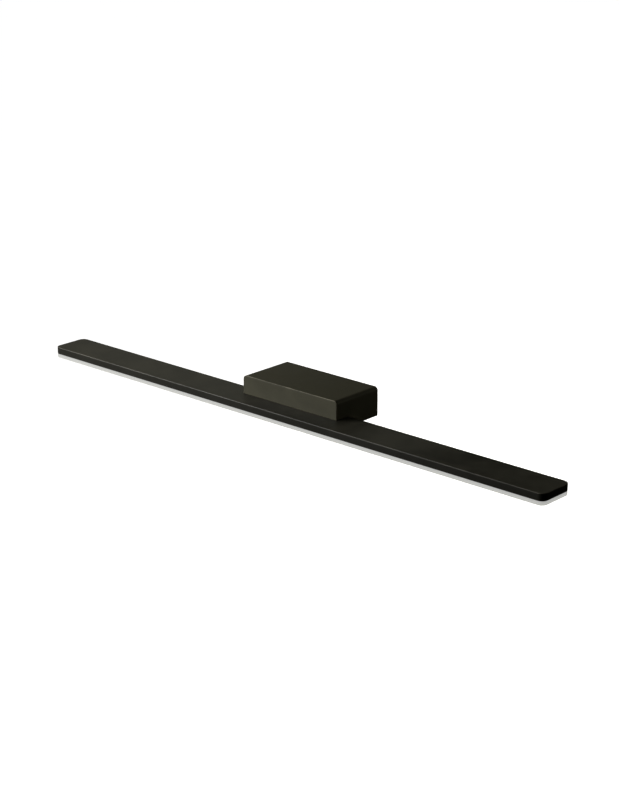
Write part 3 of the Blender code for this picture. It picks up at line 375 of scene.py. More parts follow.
class Nodes:
    """A small hand for building shader trees."""

    def __init__(self, tree: Tree) -> None:
        """Takes over an empty or default tree."""
        self.tree = tree

    def add(self, kind: str, values: dict | None = None, **settings) -> Node:
        """Adds a node.

        Args:
            kind: the node's type name.
            values: its input sockets' values, by name or number.
            settings: its own properties.

        Returns:
            The new node.
        """
        node = self.tree.nodes.new(kind)
        for key, value in settings.items():
            setattr(node, key, value)
        for key, value in (values or {}).items():
            node.inputs[key].default_value = value
        return node

    def link(self, source: Socket, target: Socket) -> None:
        """Joins an output to an input."""
        self.tree.links.new(source, target)

    def math(self, operation: str, first, second=None) -> Socket:
        """A Math node. Each operand is a number or an output socket."""
        node = self.add("ShaderNodeMath", operation=operation)
        for index, operand in enumerate((first, second)):
            if isinstance(operand, Socket):
                self.link(operand, node.inputs[index])
            elif operand is not None:
                node.inputs[index].default_value = operand
        return node.outputs[0]

    def ramp(self, value: Socket, low: float, high: float, to_low: float = 0.0,
             to_high: float = 1.0) -> Socket:
        """A smooth clamped step from one range of values to another."""
        node = self.add("ShaderNodeMapRange", {1: low, 2: high, 3: to_low, 4: to_high})
        node.interpolation_type = "SMOOTHSTEP"
        self.link(value, node.inputs[0])
        return node.outputs[0]

    def mix(self, factor: Socket, first, second) -> Socket:
        """A colour mix. Each colour is a colour or an output socket."""
        node = self.add("ShaderNodeMix", data_type="RGBA")
        self.link(factor, node.inputs[0])
        for index, colour in ((6, first), (7, second)):
            if isinstance(colour, Socket):
                self.link(colour, node.inputs[index])
            else:
                node.inputs[index].default_value = (*colour, 1.0)
        return node.outputs[2]


class Effects:
    """Node groups that the finishes share. Each is built once, on its first use."""

    made: dict[str, Tree] = {}

    @classmethod
    def group(cls, name: str, scale: float, outputs: Sequence[str],
              fill: Callable[[Nodes, Node, Node], None]) -> Tree:
        """Makes or finds a group that reads a vector at a scale.

        Args:
            name: the group's name.
            scale: the scale's default.
            outputs: the name of each output, a number.
            fill: builds the inside from the group's two end nodes.

        Returns:
            The group's tree.
        """
        if name not in cls.made:
            tree = bpy.data.node_groups.new(name, "ShaderNodeTree")
            sockets = tree.interface
            sockets.new_socket(name="Vector", in_out="INPUT", socket_type="NodeSocketVector")
            made = sockets.new_socket(name="Scale", in_out="INPUT", socket_type="NodeSocketFloat")
            made.default_value = scale
            for label in outputs:
                sockets.new_socket(name=label, in_out="OUTPUT", socket_type="NodeSocketFloat")
            nodes = Nodes(tree)
            fill(nodes, nodes.add("NodeGroupInput"), nodes.add("NodeGroupOutput"))
            cls.made[name] = tree
        return cls.made[name]

    @classmethod
    def place(cls, nodes: Nodes, tree: Tree, vector: Socket,
              **values: float) -> Node:
        """Puts a group into a material with its own values."""
        node = nodes.add("ShaderNodeGroup", node_tree=tree)
        nodes.link(vector, node.inputs["Vector"])
        for label, value in values.items():
            node.inputs[label].default_value = value
        return node

    @classmethod
    def drift(cls) -> Tree:
        """Slow blotches, 0 to 1, from two octaves of warped noise."""

        def fill(nodes: Nodes, start: Node, end: Node) -> None:
            """Broad noise plus a finer one at four times the scale."""
            broad = nodes.add("ShaderNodeTexNoise", {"Detail": 3.0, "Distortion": 0.6})
            fine = nodes.add("ShaderNodeTexNoise", {"Detail": 4.0, "Roughness": 0.6})
            for noise in (broad, fine):
                nodes.link(start.outputs["Vector"], noise.inputs["Vector"])
            nodes.link(start.outputs["Scale"], broad.inputs["Scale"])
            nodes.link(nodes.math("MULTIPLY", start.outputs["Scale"], 4.0), fine.inputs["Scale"])
            both = nodes.math("ADD", broad.outputs[0], nodes.math("MULTIPLY", fine.outputs[0], 0.5))
            nodes.link(nodes.ramp(both, 0.5, 1.0), end.inputs["Mask"])

        return cls.group("slow_drift", 20.0, ["Mask"], fill)

    @classmethod
    def grain(cls) -> Tree:
        """Fine pebbled grain: a height from cells and noise, and a mask of single specks."""

        def fill(nodes: Nodes, start: Node, end: Node) -> None:
            """Rounded cells softened by noise, and rare bright cells as specks."""
            cells = nodes.add("ShaderNodeTexVoronoi", feature="SMOOTH_F1")
            noise = nodes.add("ShaderNodeTexNoise", {"Detail": 2.0})
            specks = nodes.add("ShaderNodeTexVoronoi", feature="F1")
            scale = start.outputs["Scale"]
            for texture, factor in ((cells, 1.0), (noise, 0.7), (specks, 0.35)):
                nodes.link(start.outputs["Vector"], texture.inputs["Vector"])
                nodes.link(nodes.math("MULTIPLY", scale, factor), texture.inputs["Scale"])
            rounded = nodes.math("SUBTRACT", 1.0, cells.outputs["Distance"])
            height = nodes.math("ADD", nodes.math("MULTIPLY", rounded, 0.6), noise.outputs[0])
            nodes.link(height, end.inputs["Height"])
            nodes.link(nodes.ramp(specks.outputs["Distance"], 0.22, 0.08), end.inputs["Specks"])

        return cls.group("fine_grain", 800.0, ["Height", "Specks"], fill)

    @classmethod
    def brush(cls) -> Tree:
        """Drawn lines along X: noise squeezed across the other two axes."""

        def fill(nodes: Nodes, start: Node, end: Node) -> None:
            """One noise read through a stretched mapping."""
            stretch = nodes.add("ShaderNodeMapping")
            stretch.inputs["Scale"].default_value = (0.02, 1.0, 1.0)
            noise = nodes.add("ShaderNodeTexNoise", {"Detail": 5.0, "Roughness": 0.7})
            nodes.link(start.outputs["Vector"], stretch.inputs["Vector"])
            nodes.link(stretch.outputs[0], noise.inputs["Vector"])
            nodes.link(start.outputs["Scale"], noise.inputs["Scale"])
            nodes.link(noise.outputs[0], end.inputs["Lines"])

        return cls.group("brush_lines", 900.0, ["Lines"], fill)


# ---- Finishes ------------------------------------------------------------------------------


@dataclass(frozen=True)
class Finish:
    """A material whose colour and gloss drift, with fine grain and specks in its surface."""

    name: str
    slot: str
    colour: Colour
    second: Colour
    roughness: tuple[float, float]
    metallic: float = 0.0
    specular: float = 0.5
    coat: float = 0.0
    coat_roughness: float = 0.2
    sheen: float = 0.0
    subsurface: float = 0.0
    scatter: Colour = (1.0, 0.95, 0.85)
    scatter_depth: float = 0.004
    # Strength of painted light given off in the base colour, on a part that is no lit lamp.
    painted_glow: float = 0.0
    drift_scale: float = 240.0
    grain_scale: float = 1800.0
    grain_depth: float = 0.00002
    speck_colour: Colour | None = None
    speck_share: float = 0.5
    brushed: bool = False
    # Colour of a painted highlight along the rims, and its least share where the drift is low.
    rim_highlight_colour: Colour | None = None
    least_rim_highlight: float = 0.25

    def colours(self, nodes: Nodes, mask: Socket,
                vector: Socket) -> Socket:
        """The base colour before specks and the painted rim highlight: two tones mixed by the
        drift.
        """
        return nodes.mix(mask, self.colour, self.second)

    def height(self, nodes: Nodes, grain: Node,
               vector: Socket) -> Socket:
        """The height that the bump reads: grain, with drawn lines on a brushed metal."""
        if not self.brushed:
            return grain.outputs["Height"]
        lines = Effects.place(nodes, Effects.brush(), vector, Scale=self.grain_scale)
        return nodes.math("ADD", lines.outputs[0], nodes.math("MULTIPLY", grain.outputs[0], 0.3))

    def material(self) -> bpy.types.Material:
        """Makes the material on its first use, and finds it again later."""
        found = bpy.data.materials.get(self.name)
        if found:
            return found
        made = bpy.data.materials.new(self.name)
        made.use_nodes = True
        nodes = Nodes(made.node_tree)
        shader = made.node_tree.nodes["Principled BSDF"]
        vector = nodes.add("ShaderNodeTexCoord").outputs["Object"]
        drift = Effects.place(nodes, Effects.drift(), vector, Scale=self.drift_scale)
        grain = Effects.place(nodes, Effects.grain(), vector, Scale=self.grain_scale)
        mask = drift.outputs["Mask"]
        base = self.colours(nodes, mask, vector)
        if self.speck_colour:
            share = nodes.math("MULTIPLY", grain.outputs["Specks"], self.speck_share)
            base = nodes.mix(share, base, self.speck_colour)
        # Painted highlight: a lighter colour mixed in near the stored rims, in patches set by the
        # drift.
        if self.rim_highlight_colour:
            highlit_rims = nodes.add("ShaderNodeAttribute", attribute_name=RIM_HIGHLIGHT_ATTRIBUTE).outputs["Fac"]
            patchy = nodes.ramp(mask, 0.0, 1.0, self.least_rim_highlight, 1.0)
            base = nodes.mix(nodes.math("MULTIPLY", highlit_rims, patchy), base, self.rim_highlight_colour)
        nodes.link(base, shader.inputs["Base Color"])
        nodes.link(nodes.ramp(mask, 0.0, 1.0, *self.roughness), shader.inputs["Roughness"])
        bump = nodes.add("ShaderNodeBump", {"Strength": 1.0, "Distance": self.grain_depth})
        nodes.link(self.height(nodes, grain, vector), bump.inputs["Height"])
        nodes.link(bump.outputs[0], shader.inputs["Normal"])
        # Painted light: the base colour is given off as emission.
        if self.painted_glow:
            nodes.link(base, shader.inputs["Emission Color"])
        constants = {
            "Metallic": self.metallic,
            "Specular IOR Level": self.specular,
            "Coat Weight": self.coat,
            "Coat Roughness": self.coat_roughness,
            "Sheen Weight": self.sheen,
            "Subsurface Weight": self.subsurface,
            "Subsurface Radius": self.scatter,
            "Subsurface Scale": self.scatter_depth,
            "Emission Strength": self.painted_glow,
        }
        for label, value in constants.items():
            shader.inputs[label].default_value = value
        made.diffuse_color = (*self.colour, 1.0)
        return made


@dataclass(frozen=True)
class StripedFinish(Finish):
    """Insulation in two colours, laid in stripes along the lead's own UV."""

    stripe: Colour = (0.55, 0.50, 0.02)

    def colours(self, nodes: Nodes, mask: Socket,
                vector: Socket) -> Socket:
        """Two stripes round the lead, which turn slowly along it."""
        coordinates = nodes.add("ShaderNodeUVMap", uv_map=LEAD_UV)
        parts = nodes.add("ShaderNodeSeparateXYZ")
        nodes.link(coordinates.outputs[0], parts.inputs[0])
        turned = nodes.math("ADD", nodes.math("MULTIPLY", parts.outputs[0], 2.0), parts.outputs[1])
        side = nodes.math("ABSOLUTE", nodes.math("SUBTRACT", nodes.math("FRACT", turned), 0.5))
        striped = nodes.mix(nodes.ramp(side, 0.24, 0.26), self.colour, self.stripe)
        return nodes.mix(nodes.math("MULTIPLY", mask, 0.4), striped, self.second)


@dataclass(frozen=True)
class CircuitFinish(Finish):
    """A solder mask over copper: raised tracks on a square grid, with tinned pads."""

    track: Colour = (0.05, 0.30, 0.12)
    pad: Colour = (0.75, 0.75, 0.72)
    pitch: float = 400.0

    def colours(self, nodes: Nodes, mask: Socket,
                vector: Socket) -> Socket:
        """Blocky cells make the tracks, and round cells at a regular pitch make the pads."""
        blocks = nodes.add("ShaderNodeTexVoronoi", {"Scale": self.pitch, "Randomness": 0.7})
        blocks.distance = "MANHATTAN"
        blocks.feature = "DISTANCE_TO_EDGE"
        dots = nodes.add("ShaderNodeTexVoronoi", {"Scale": self.pitch, "Randomness": 0.35})
        for texture in (blocks, dots):
            nodes.link(vector, texture.inputs["Vector"])
        base = nodes.mix(mask, self.colour, self.second)
        tracks = nodes.mix(nodes.ramp(blocks.outputs["Distance"], 0.08, 0.05), base, self.track)
        return nodes.mix(nodes.ramp(dots.outputs["Distance"], 0.20, 0.16), tracks, self.pad)


class Shades:
    """Every finish on the light, by what it is."""

    # The canopy and the bar share one black paint: the canopy's copy is painted lighter as painted
    # light, the bar's darker as painted shade.
    CANOPY = Finish("canopy_black_satin_painted_light", "black_paint", (0.061, 0.058, 0.036),
                    (0.073, 0.069, 0.043), (0.52, 0.62), specular=0.25, drift_scale=22.0,
                    grain_scale=1500.0, grain_depth=0.000012, rim_highlight_colour=(0.40, 0.37, 0.28))
    HOUSING = Finish("bar_black_satin_painted_shade", "black_paint", (0.0145, 0.0137, 0.0087),
                     (0.0167, 0.0156, 0.0098), (0.40, 0.45), specular=0.45, drift_scale=14.0,
                     grain_scale=1500.0, grain_depth=0.000014, rim_highlight_colour=(0.20, 0.187, 0.143))
    # The opal tray is an unlit diffuser: the light it gives off is painted light, for light
    # scattered through it.
    OPAL = Finish("opal_acrylic_painted_glow", "opal_acrylic", (0.17, 0.17, 0.165),
                  (0.155, 0.156, 0.150), (0.42, 0.55), specular=0.4, painted_glow=2.62,
                  drift_scale=260.0, grain_scale=900.0, grain_depth=0.00006,
                  speck_colour=(0.120, 0.120, 0.114), speck_share=0.7,
                  rim_highlight_colour=(0.235, 0.232, 0.214))
    ZINC = Finish("zinc_plated_steel", "zinc_steel", (0.72, 0.73, 0.72), (0.64, 0.65, 0.66),
                  (0.36, 0.42), metallic=1.0, drift_scale=160.0, grain_scale=700.0,
                  grain_depth=0.000004, brushed=True, speck_colour=(0.50, 0.49, 0.45),
                  speck_share=0.2)
    BRASS = Finish("brass", "brass", (0.70, 0.50, 0.22), (0.52, 0.36, 0.15), (0.25, 0.42),
                   metallic=1.0, drift_scale=300.0, grain_scale=2000.0, grain_depth=0.00001,
                   brushed=True)
    RUBBER = Finish("black_rubber", "black_rubber", (0.016, 0.016, 0.017), (0.032, 0.031, 0.030),
                    (0.72, 0.88), sheen=0.15, drift_scale=160.0, grain_scale=2200.0,
                    grain_depth=0.00004)
    FOAM = Finish("black_foam_seal", "black_rubber", (0.020, 0.020, 0.021),
                  (0.042, 0.041, 0.039), (0.85, 0.95), sheen=0.2, drift_scale=300.0,
                  grain_scale=3200.0, grain_depth=0.00015)
    WHITE_PLASTIC = Finish("white_plastic", "white_plastic", (0.78, 0.77, 0.73),
                           (0.72, 0.71, 0.66), (0.38, 0.5), drift_scale=60.0, grain_scale=2400.0)
    NYLON = Finish("natural_nylon", "natural_nylon", (0.72, 0.69, 0.58), (0.63, 0.60, 0.49),
                   (0.35, 0.5), subsurface=0.3, drift_scale=140.0)
    LED_BOARD = CircuitFinish("white_led_board", "white_board", (0.84, 0.84, 0.82),
                              (0.79, 0.79, 0.76), (0.3, 0.42), drift_scale=90.0,
                              grain_scale=2500.0, grain_depth=0.00001,
                              track=(0.76, 0.76, 0.72), pad=(0.62, 0.60, 0.55), pitch=260.0)
    PHOSPHOR = Finish("phosphor_yellow", "white_board", (0.80, 0.66, 0.16), (0.76, 0.60, 0.12),
                      (0.2, 0.35), coat=0.5, drift_scale=900.0, grain_scale=6000.0,
                      grain_depth=0.000005)
    CIRCUIT = CircuitFinish("green_circuit_board", "circuit_board", (0.015, 0.11, 0.045),
                            (0.02, 0.15, 0.06), (0.28, 0.42), drift_scale=80.0,
                            grain_scale=2500.0, grain_depth=0.00001)
    PAD = Finish("thermal_pad_grey", "thermal_pad", (0.40, 0.45, 0.50), (0.33, 0.38, 0.43),
                 (0.7, 0.85), drift_scale=120.0, grain_scale=2600.0, grain_depth=0.00003)
    FERRITE = Finish("ferrite_grey", "ferrite", (0.045, 0.045, 0.05), (0.085, 0.083, 0.085),
                     (0.5, 0.72), drift_scale=220.0, grain_scale=3000.0, grain_depth=0.00003,
                     speck_colour=(0.16, 0.16, 0.16))
    SLEEVE = Finish("capacitor_sleeve_blue", "capacitor_sleeve", (0.012, 0.022, 0.085),
                    (0.02, 0.035, 0.12), (0.25, 0.4), coat=0.3, drift_scale=160.0,
                    grain_depth=0.00001)
    CASE = Finish("moulded_black_resin", "ferrite", (0.022, 0.022, 0.024),
                  (0.038, 0.038, 0.040), (0.4, 0.55), drift_scale=300.0, grain_scale=3200.0)
    COPPER = Finish("enamelled_copper", "ferrite", (0.62, 0.22, 0.09), (0.45, 0.14, 0.05),
                    (0.22, 0.35), metallic=0.9, coat=0.5, drift_scale=300.0,
                    grain_scale=2500.0, grain_depth=0.00001)
    TAPE = Finish("winding_tape_yellow", "ferrite", (0.68, 0.52, 0.10), (0.58, 0.42, 0.07),
                  (0.25, 0.4), coat=0.4, drift_scale=200.0, grain_scale=1500.0)
    BROWN = Finish("lead_brown", "brown_lead", (0.16, 0.060, 0.026), (0.22, 0.085, 0.040),
                   (0.35, 0.5))
    BLUE = Finish("lead_blue", "blue_lead", (0.025, 0.11, 0.40), (0.035, 0.15, 0.48),
                  (0.35, 0.5))
    EARTH = StripedFinish("lead_green_yellow", "earth_lead", (0.035, 0.22, 0.03),
                          (0.05, 0.26, 0.04), (0.35, 0.5))
    RED = Finish("lead_red", "red_lead", (0.46, 0.022, 0.016), (0.55, 0.04, 0.03), (0.35, 0.5))
    BLACK = Finish("lead_black", "black_lead", (0.018, 0.018, 0.018), (0.034, 0.034, 0.033),
                   (0.38, 0.52))


# ---- Pieces --------------------------------------------------------------------------------


def centre_of(name: str) -> Vector:
    """The middle of a CAD node's box."""
    low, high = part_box(name)
    return (low + high) / 2


def foot_of(name: str, plane: Plane = Plane.ACROSS_Z, towards: float = 1.0) -> Vector:
    """The middle of the end of a CAD node's box that a piece grows from, towards +1 or -1."""
    low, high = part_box(name)
    axis = plane.value[2]
    foot = (low + high) / 2
    foot[axis] = low[axis] if towards > 0 else high[axis]
    return foot


def node_block(name: str, corner: float, rim: float) -> Mesh:
    """A block that fills a CAD node's box, with rounded upright corners and rims."""
    return block_mesh(name, *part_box(name), Plane.ACROSS_Z, corner, rim)


def add_piece(name: str, mesh: Mesh, finish: Finish, *replaces: str,
              body: Body = Body.LAMP, slot: str = "") -> bpy.types.Object:
    """Links a finished piece, makes it ride, and hides the CAD nodes it stands for.

    Args:
        name: the piece's name.
        mesh: its surface, in world coordinates.
        finish: its material.
        replaces: the CAD nodes that it stands for. A piece of added detail has none.
        body: the body that it rides on.
        slot: not used.

    Returns:
        The new object.
    """
    piece = bpy.data.objects.new(name, mesh)
    bpy.context.scene.collection.objects.link(piece)
    mesh.materials.clear()
    mesh.materials.append(finish.material())
    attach(piece, body.value)
    if replaces:
        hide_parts(*replaces)
    LOG.info("%s: %d faces on %s", name, len(mesh.polygons), body.value)
    return piece


class Recess(Enum):
    """The driver that a screw takes."""

    CROSS = "cross"
    HEX = "hex"
    SLOT = "slot"


@dataclass(frozen=True)
class Screw:
    """A screw with a rolled thread. A height of 0 makes a grub screw."""

    shank: float
    head: float
    height: float
    pitch: float
    recess: Recess = Recess.CROSS
    thread_share: float = 0.15
    point_share: float = 0.25
    tip_share: float = 0.7
    grub_share: float = 0.8
    crown: tuple[float, float] = (0.45, 0.6)
    recess_depth: float = 0.5
    cross_half: tuple[float, float] = (0.55, 0.14)
    rows_per_turn: int = 8
    sides: int = 32

    @staticmethod
    def of(name: str) -> "Screw":
        """The screw that stands for the CAD node with this name, or that goes through it."""
        if name.startswith("lock"):
            return Screw(0.00175, 0.0034, 0.0012, 0.0007, Recess.HEX)
        if name.startswith("terminal_screw"):
            return Screw(0.0013, 0.0013, 0.0, 0.0005, Recess.SLOT)
        if "fixing" in name:
            return Screw(0.0013, 0.0025, 0.0015, 0.0005)
        return Screw(0.00175, 0.0036, 0.0022, 0.0007)

    @property
    def clear(self) -> float:
        """Radius of the hole that the shank passes through."""
        return self.shank + GAP

    def surface(self, length: float) -> tuple[np.ndarray, np.ndarray]:
        """Radius at each height and angle, and the heights, from the tip to the head's middle.

        On the shank the radius drops by a triangle wave of height / pitch minus angle, which
        is a helix. The head is a short wall and then a quarter of an ellipse.
        """
        rows = int(self.rows_per_turn * length / self.pitch)
        shank_height = np.linspace(self.point_share * self.shank - length, 0, rows)
        angle = np.linspace(0, 1, self.sides, endpoint=False)
        groove = wave(shank_height[:, None] / self.pitch - angle[None])
        shank = self.shank * (1 - self.thread_share * groove)
        tip = np.array([[0, -length], [self.tip_share * self.shank, -length]])
        if self.height:
            curve = np.radians(np.linspace(0, 90, 7))
            wide, tall = self.crown
            dome = np.column_stack([self.head * (1 - wide + wide * np.cos(curve)),
                                    self.height * (1 - tall + tall * np.sin(curve))])
            top = np.array([[self.head, 0], *dome, [0, self.height]])
        else:
            top = np.array([[self.grub_share * self.shank, 0], [0, 0]])
        below, above = (np.repeat(end[:, :1], self.sides, axis=1) for end in (tip, top))
        height = np.concatenate([tip[:, 1], shank_height, top[:, 1]])
        return np.vstack([below, shank, above]), height

    def cutters(self, top: Vector, plane: Plane) -> list[Mesh]:
        """The recess: a slot, two crossed slots or a hexagon."""
        depth = self.recess_depth * (self.height or self.shank)
        if self.recess is Recess.HEX:
            return [bore_mesh(top, 0.5 * self.head, depth, plane, sides=6)]
        reach, blade = (share * self.head for share in self.cross_half)
        halves = [(reach, blade), (blade, reach)]
        if self.recess is Recess.SLOT:
            halves = [(2 * self.shank, 1.6 * blade)]
        made = []
        for pair in halves:
            half = Vector((0, 0, 0))
            for axis, size in zip(plane.value, (*pair, depth)):
                half[axis] = size
            made.append(block_mesh("recess", top - half, top + half, plane))
        return made

    def build(self, name: str, finish: Finish, body: Body = Body.LAMP,
              plane: Plane = Plane.ACROSS_Z, towards: float = 1.0) -> None:
        """Builds the screw in place of a CAD node. Its head points towards +1 or -1."""
        low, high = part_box(name)
        axis = plane.value[2]
        top = foot_of(name, plane, -towards)
        seat = top.copy()
        seat[axis] = top[axis] - towards * self.height
        radius, height = self.surface(high[axis] - low[axis] - self.height)
        mesh = round_mesh(name, radius, height, seat, plane, towards)
        made = carve(mesh, self.cutters(top, plane))
        add_piece(f"{name}_threaded", made, finish, name, body=body)


def clear_bores(names: Sequence[str], past: float) -> list[Mesh]:
    """Upright cutters for screws and the leads' grommet, which reach past each at both ends."""
    made = []
    for name in names:
        low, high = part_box(name)
        radius = LEAD_HOLE if name == LEAD_GROMMET else Screw.of(name).clear
        reach = (high.z - low.z) / 2 + past
        made.append(bore_mesh((low + high) / 2, radius, reach, Plane.ACROSS_Z))
    return made


def build_grommet(name: str, body: Body, plane: Plane, towards: float, barrel: float,
                  wall: float, lip: float = 0.0006) -> None:
    """A rubber bush with a rounded flange, in place of a CAD node.

    Args:
        name: the node's name.
        body: the body that it rides on.
        plane: the plane of its flange.
        towards: the side of the flange, +1 or -1 along its axis.
        barrel: radius of the barrel.
        wall: thickness of the barrel.
        lip: radius of the rounded rims.
    """
    low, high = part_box(name)
    axis = plane.value[2]
    deep = high[axis] - low[axis]
    flange = (high.x - low.x) / 2
    bore = barrel - wall
    profile = np.vstack([
        [[bore, 0.2 * lip], [bore + 0.2 * lip, 0], [barrel - 0.4 * lip, 0], [barrel, 0.4 * lip],
         [barrel, deep - 2 * lip], [flange - lip, deep - 2 * lip]],
        arc_profile((flange - lip, deep - lip), lip, -60, 90, 8),
        arc_profile((bore + lip, deep - lip), lip, 90, 180, 6),
    ])
    foot = foot_of(name, plane, towards)
    mesh = turned_mesh(name, profile, foot, plane, 48, towards, closed=True)
    add_piece(f"{name}_bush", mesh, Shades.RUBBER, name, body=body)


@dataclass
class Bracket:
    """The plated channel on the wall, with its grommet."""

    thickness: float = 0.0015
    bend: float = 0.0022
    lip_corner: float = 0.0005
    end_edge: float = 0.0003
    slot_half: tuple[float, float] = (0.007, 0.00225)
    slot_inset: float = 0.021
    cable_hole: float = 0.005
    grommet_wall: float = 0.0015
    low: Vector = field(default_factory=lambda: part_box("bracket_plate")[0])
    high: Vector = field(default_factory=lambda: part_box("bracket_plate")[1])

    def build(self) -> None:
        """Builds the channel by bending radii, then its slots and holes."""
        low, high, thick = self.low, self.high, self.thickness
        outer = block_mesh("bracket_outer", low, high, Plane.ACROSS_X,
                           [self.bend, self.lip_corner, self.lip_corner, self.bend], self.end_edge)
        reach = high.x - low.x
        inner_bend = self.bend - thick
        channel = block_mesh("bracket_channel", (-reach, low.y - reach, low.z + thick),
                             (reach, high.y - thick, high.z - thick), Plane.ACROSS_X,
                             [inner_bend, 0, 0, inner_bend])
        middle = (low.z + high.z) / 2
        cutters = [channel]
        long, tall = self.slot_half
        for x in (low.x + self.slot_inset, high.x - self.slot_inset):
            cutters.append(block_mesh("wall_slot", (x - long, -2 * thick, middle - tall),
                                      (x + long, thick, middle + tall), Plane.ACROSS_Y,
                                      0.98 * tall, steps=8))
        for name, radius, sides in (("cable_grommet", self.cable_hole, 40),
                                    ("bracket_earth_screw", Screw.of("earth").clear, 24)):
            spot = centre_of(name)
            cutters.append(bore_mesh((spot.x, 0, spot.z), radius, 2 * thick, Plane.ACROSS_Y, sides))
        add_piece("bracket_channel", carve(outer, cutters), Shades.ZINC, "bracket_plate",
                  body=Body.BRACKET)
        build_grommet("cable_grommet", Body.BRACKET, Plane.ACROSS_Y, -1.0,
                      self.cable_hole - GAP, self.grommet_wall)


@dataclass
class Canopy:
    """The stepped box on the wall that carries the bar, with its foam seal."""

    top_corner: float = 0.005
    low_corner: float = 0.0025
    edge: float = 0.0007
    wall: float = 0.0015
    corner_steps: int = 10
    low: Vector = field(default_factory=lambda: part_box("canopy_shell")[0])
    high: Vector = field(default_factory=lambda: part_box("canopy_shell")[1])
    bar_rear: float = field(default_factory=lambda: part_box("bar_housing")[1].y)
    bar_top: float = field(default_factory=lambda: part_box("bar_housing")[1].z)

    def sweep(self, name: str, profile: Sequence, inset: float = 0.0,
              closed: bool = False) -> Mesh:
        """Carries an (inset, depth) profile round the canopy's outline, itself set in or not."""
        profile = np.array(profile)
        half = ((self.high.x - self.low.x) / 2 - inset, (self.high.z - self.low.z) / 2 - inset)
        corners = [self.top_corner - inset] * 2 + [self.low_corner - inset] * 2
        outline = rounded_outline(half, corners, profile[:, 0], self.corner_steps)
        centre = (0.0, 0.0, (self.low.z + self.high.z) / 2)
        points = lay_out(outline, profile[:, 1], Plane.ACROSS_Y, centre)
        return grid_mesh(name, points, wrap_rows=closed)

    def outer(self) -> Mesh:
        """Solid canopy: its end-on outline carried back from a rounded front rim."""
        full = (self.high.z - self.low.z) / 2
        front, back, soft = self.low.y, self.high.y, 2.0 * self.edge
        rim = arc_profile((self.edge, front + self.edge), self.edge, 270, 180, 6)
        return self.sweep("canopy_outer", [[full, front], [soft, front], *rim, [0, front + soft],
                                           [0, back], [full, back]])

    def room(self) -> Mesh:
        """The hollow: the outline set in by the wall, less the ledge over the bar."""
        full = (self.high.z - self.low.z) / 2 - self.wall
        front, back = self.low.y + self.wall, self.high.y + self.wall
        room = self.sweep("canopy_room", [[full, front], [0, front], [0, back], [full, back]],
                          self.wall)
        return carve(room, [self.step("canopy_ledge", self.wall)])

    def step(self, name: str, cover: float = 0.0) -> Mesh:
        """The room that the bar takes up, with a cover of some thickness."""
        reach = 2 * self.high.x
        return block_mesh(name, (-reach, self.low.y - reach, self.low.z - reach),
                          (reach, self.bar_rear + GAP + cover, self.bar_top + GAP + cover))

    def build(self) -> None:
        """Builds the canopy and its seal."""
        bores = clear_bores((*BAR_SCREWS, *FIXING_SCREWS, *LOCK_SCREWS, LEAD_GROMMET), self.wall)
        mesh = carve(self.outer(), [self.step("bar_step"), self.room(), *bores])
        # Painted highlight along the rounded front rim, not on the flat front face.
        front, fade, flat = self.low.y, 2.0 * self.edge, 0.15 * self.edge
        mark_highlight_rims(mesh, lambda points: (front + fade - points[:, 1]) / self.edge
                   * (np.abs(points[:, 1] - front) > flat))
        add_piece("canopy_cover", mesh, Shades.CANOPY, "canopy_shell")
        self.build_seal()

    def build_seal(self) -> None:
        """The foam seal: a flat ring with swollen rims, between the canopy and the wall."""
        low, high = (corner.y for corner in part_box("wall_seal"))
        bulge, wall = (high - low) / 3, self.wall
        ring = [[0, low + bulge], [0, high - bulge], [bulge, high], [wall - bulge, high],
                [wall, high - bulge], [wall, low + bulge], [wall - bulge, low], [bulge, low]]
        add_piece("foam_seal", self.sweep("foam_seal", ring, closed=True), Shades.FOAM, "wall_seal")


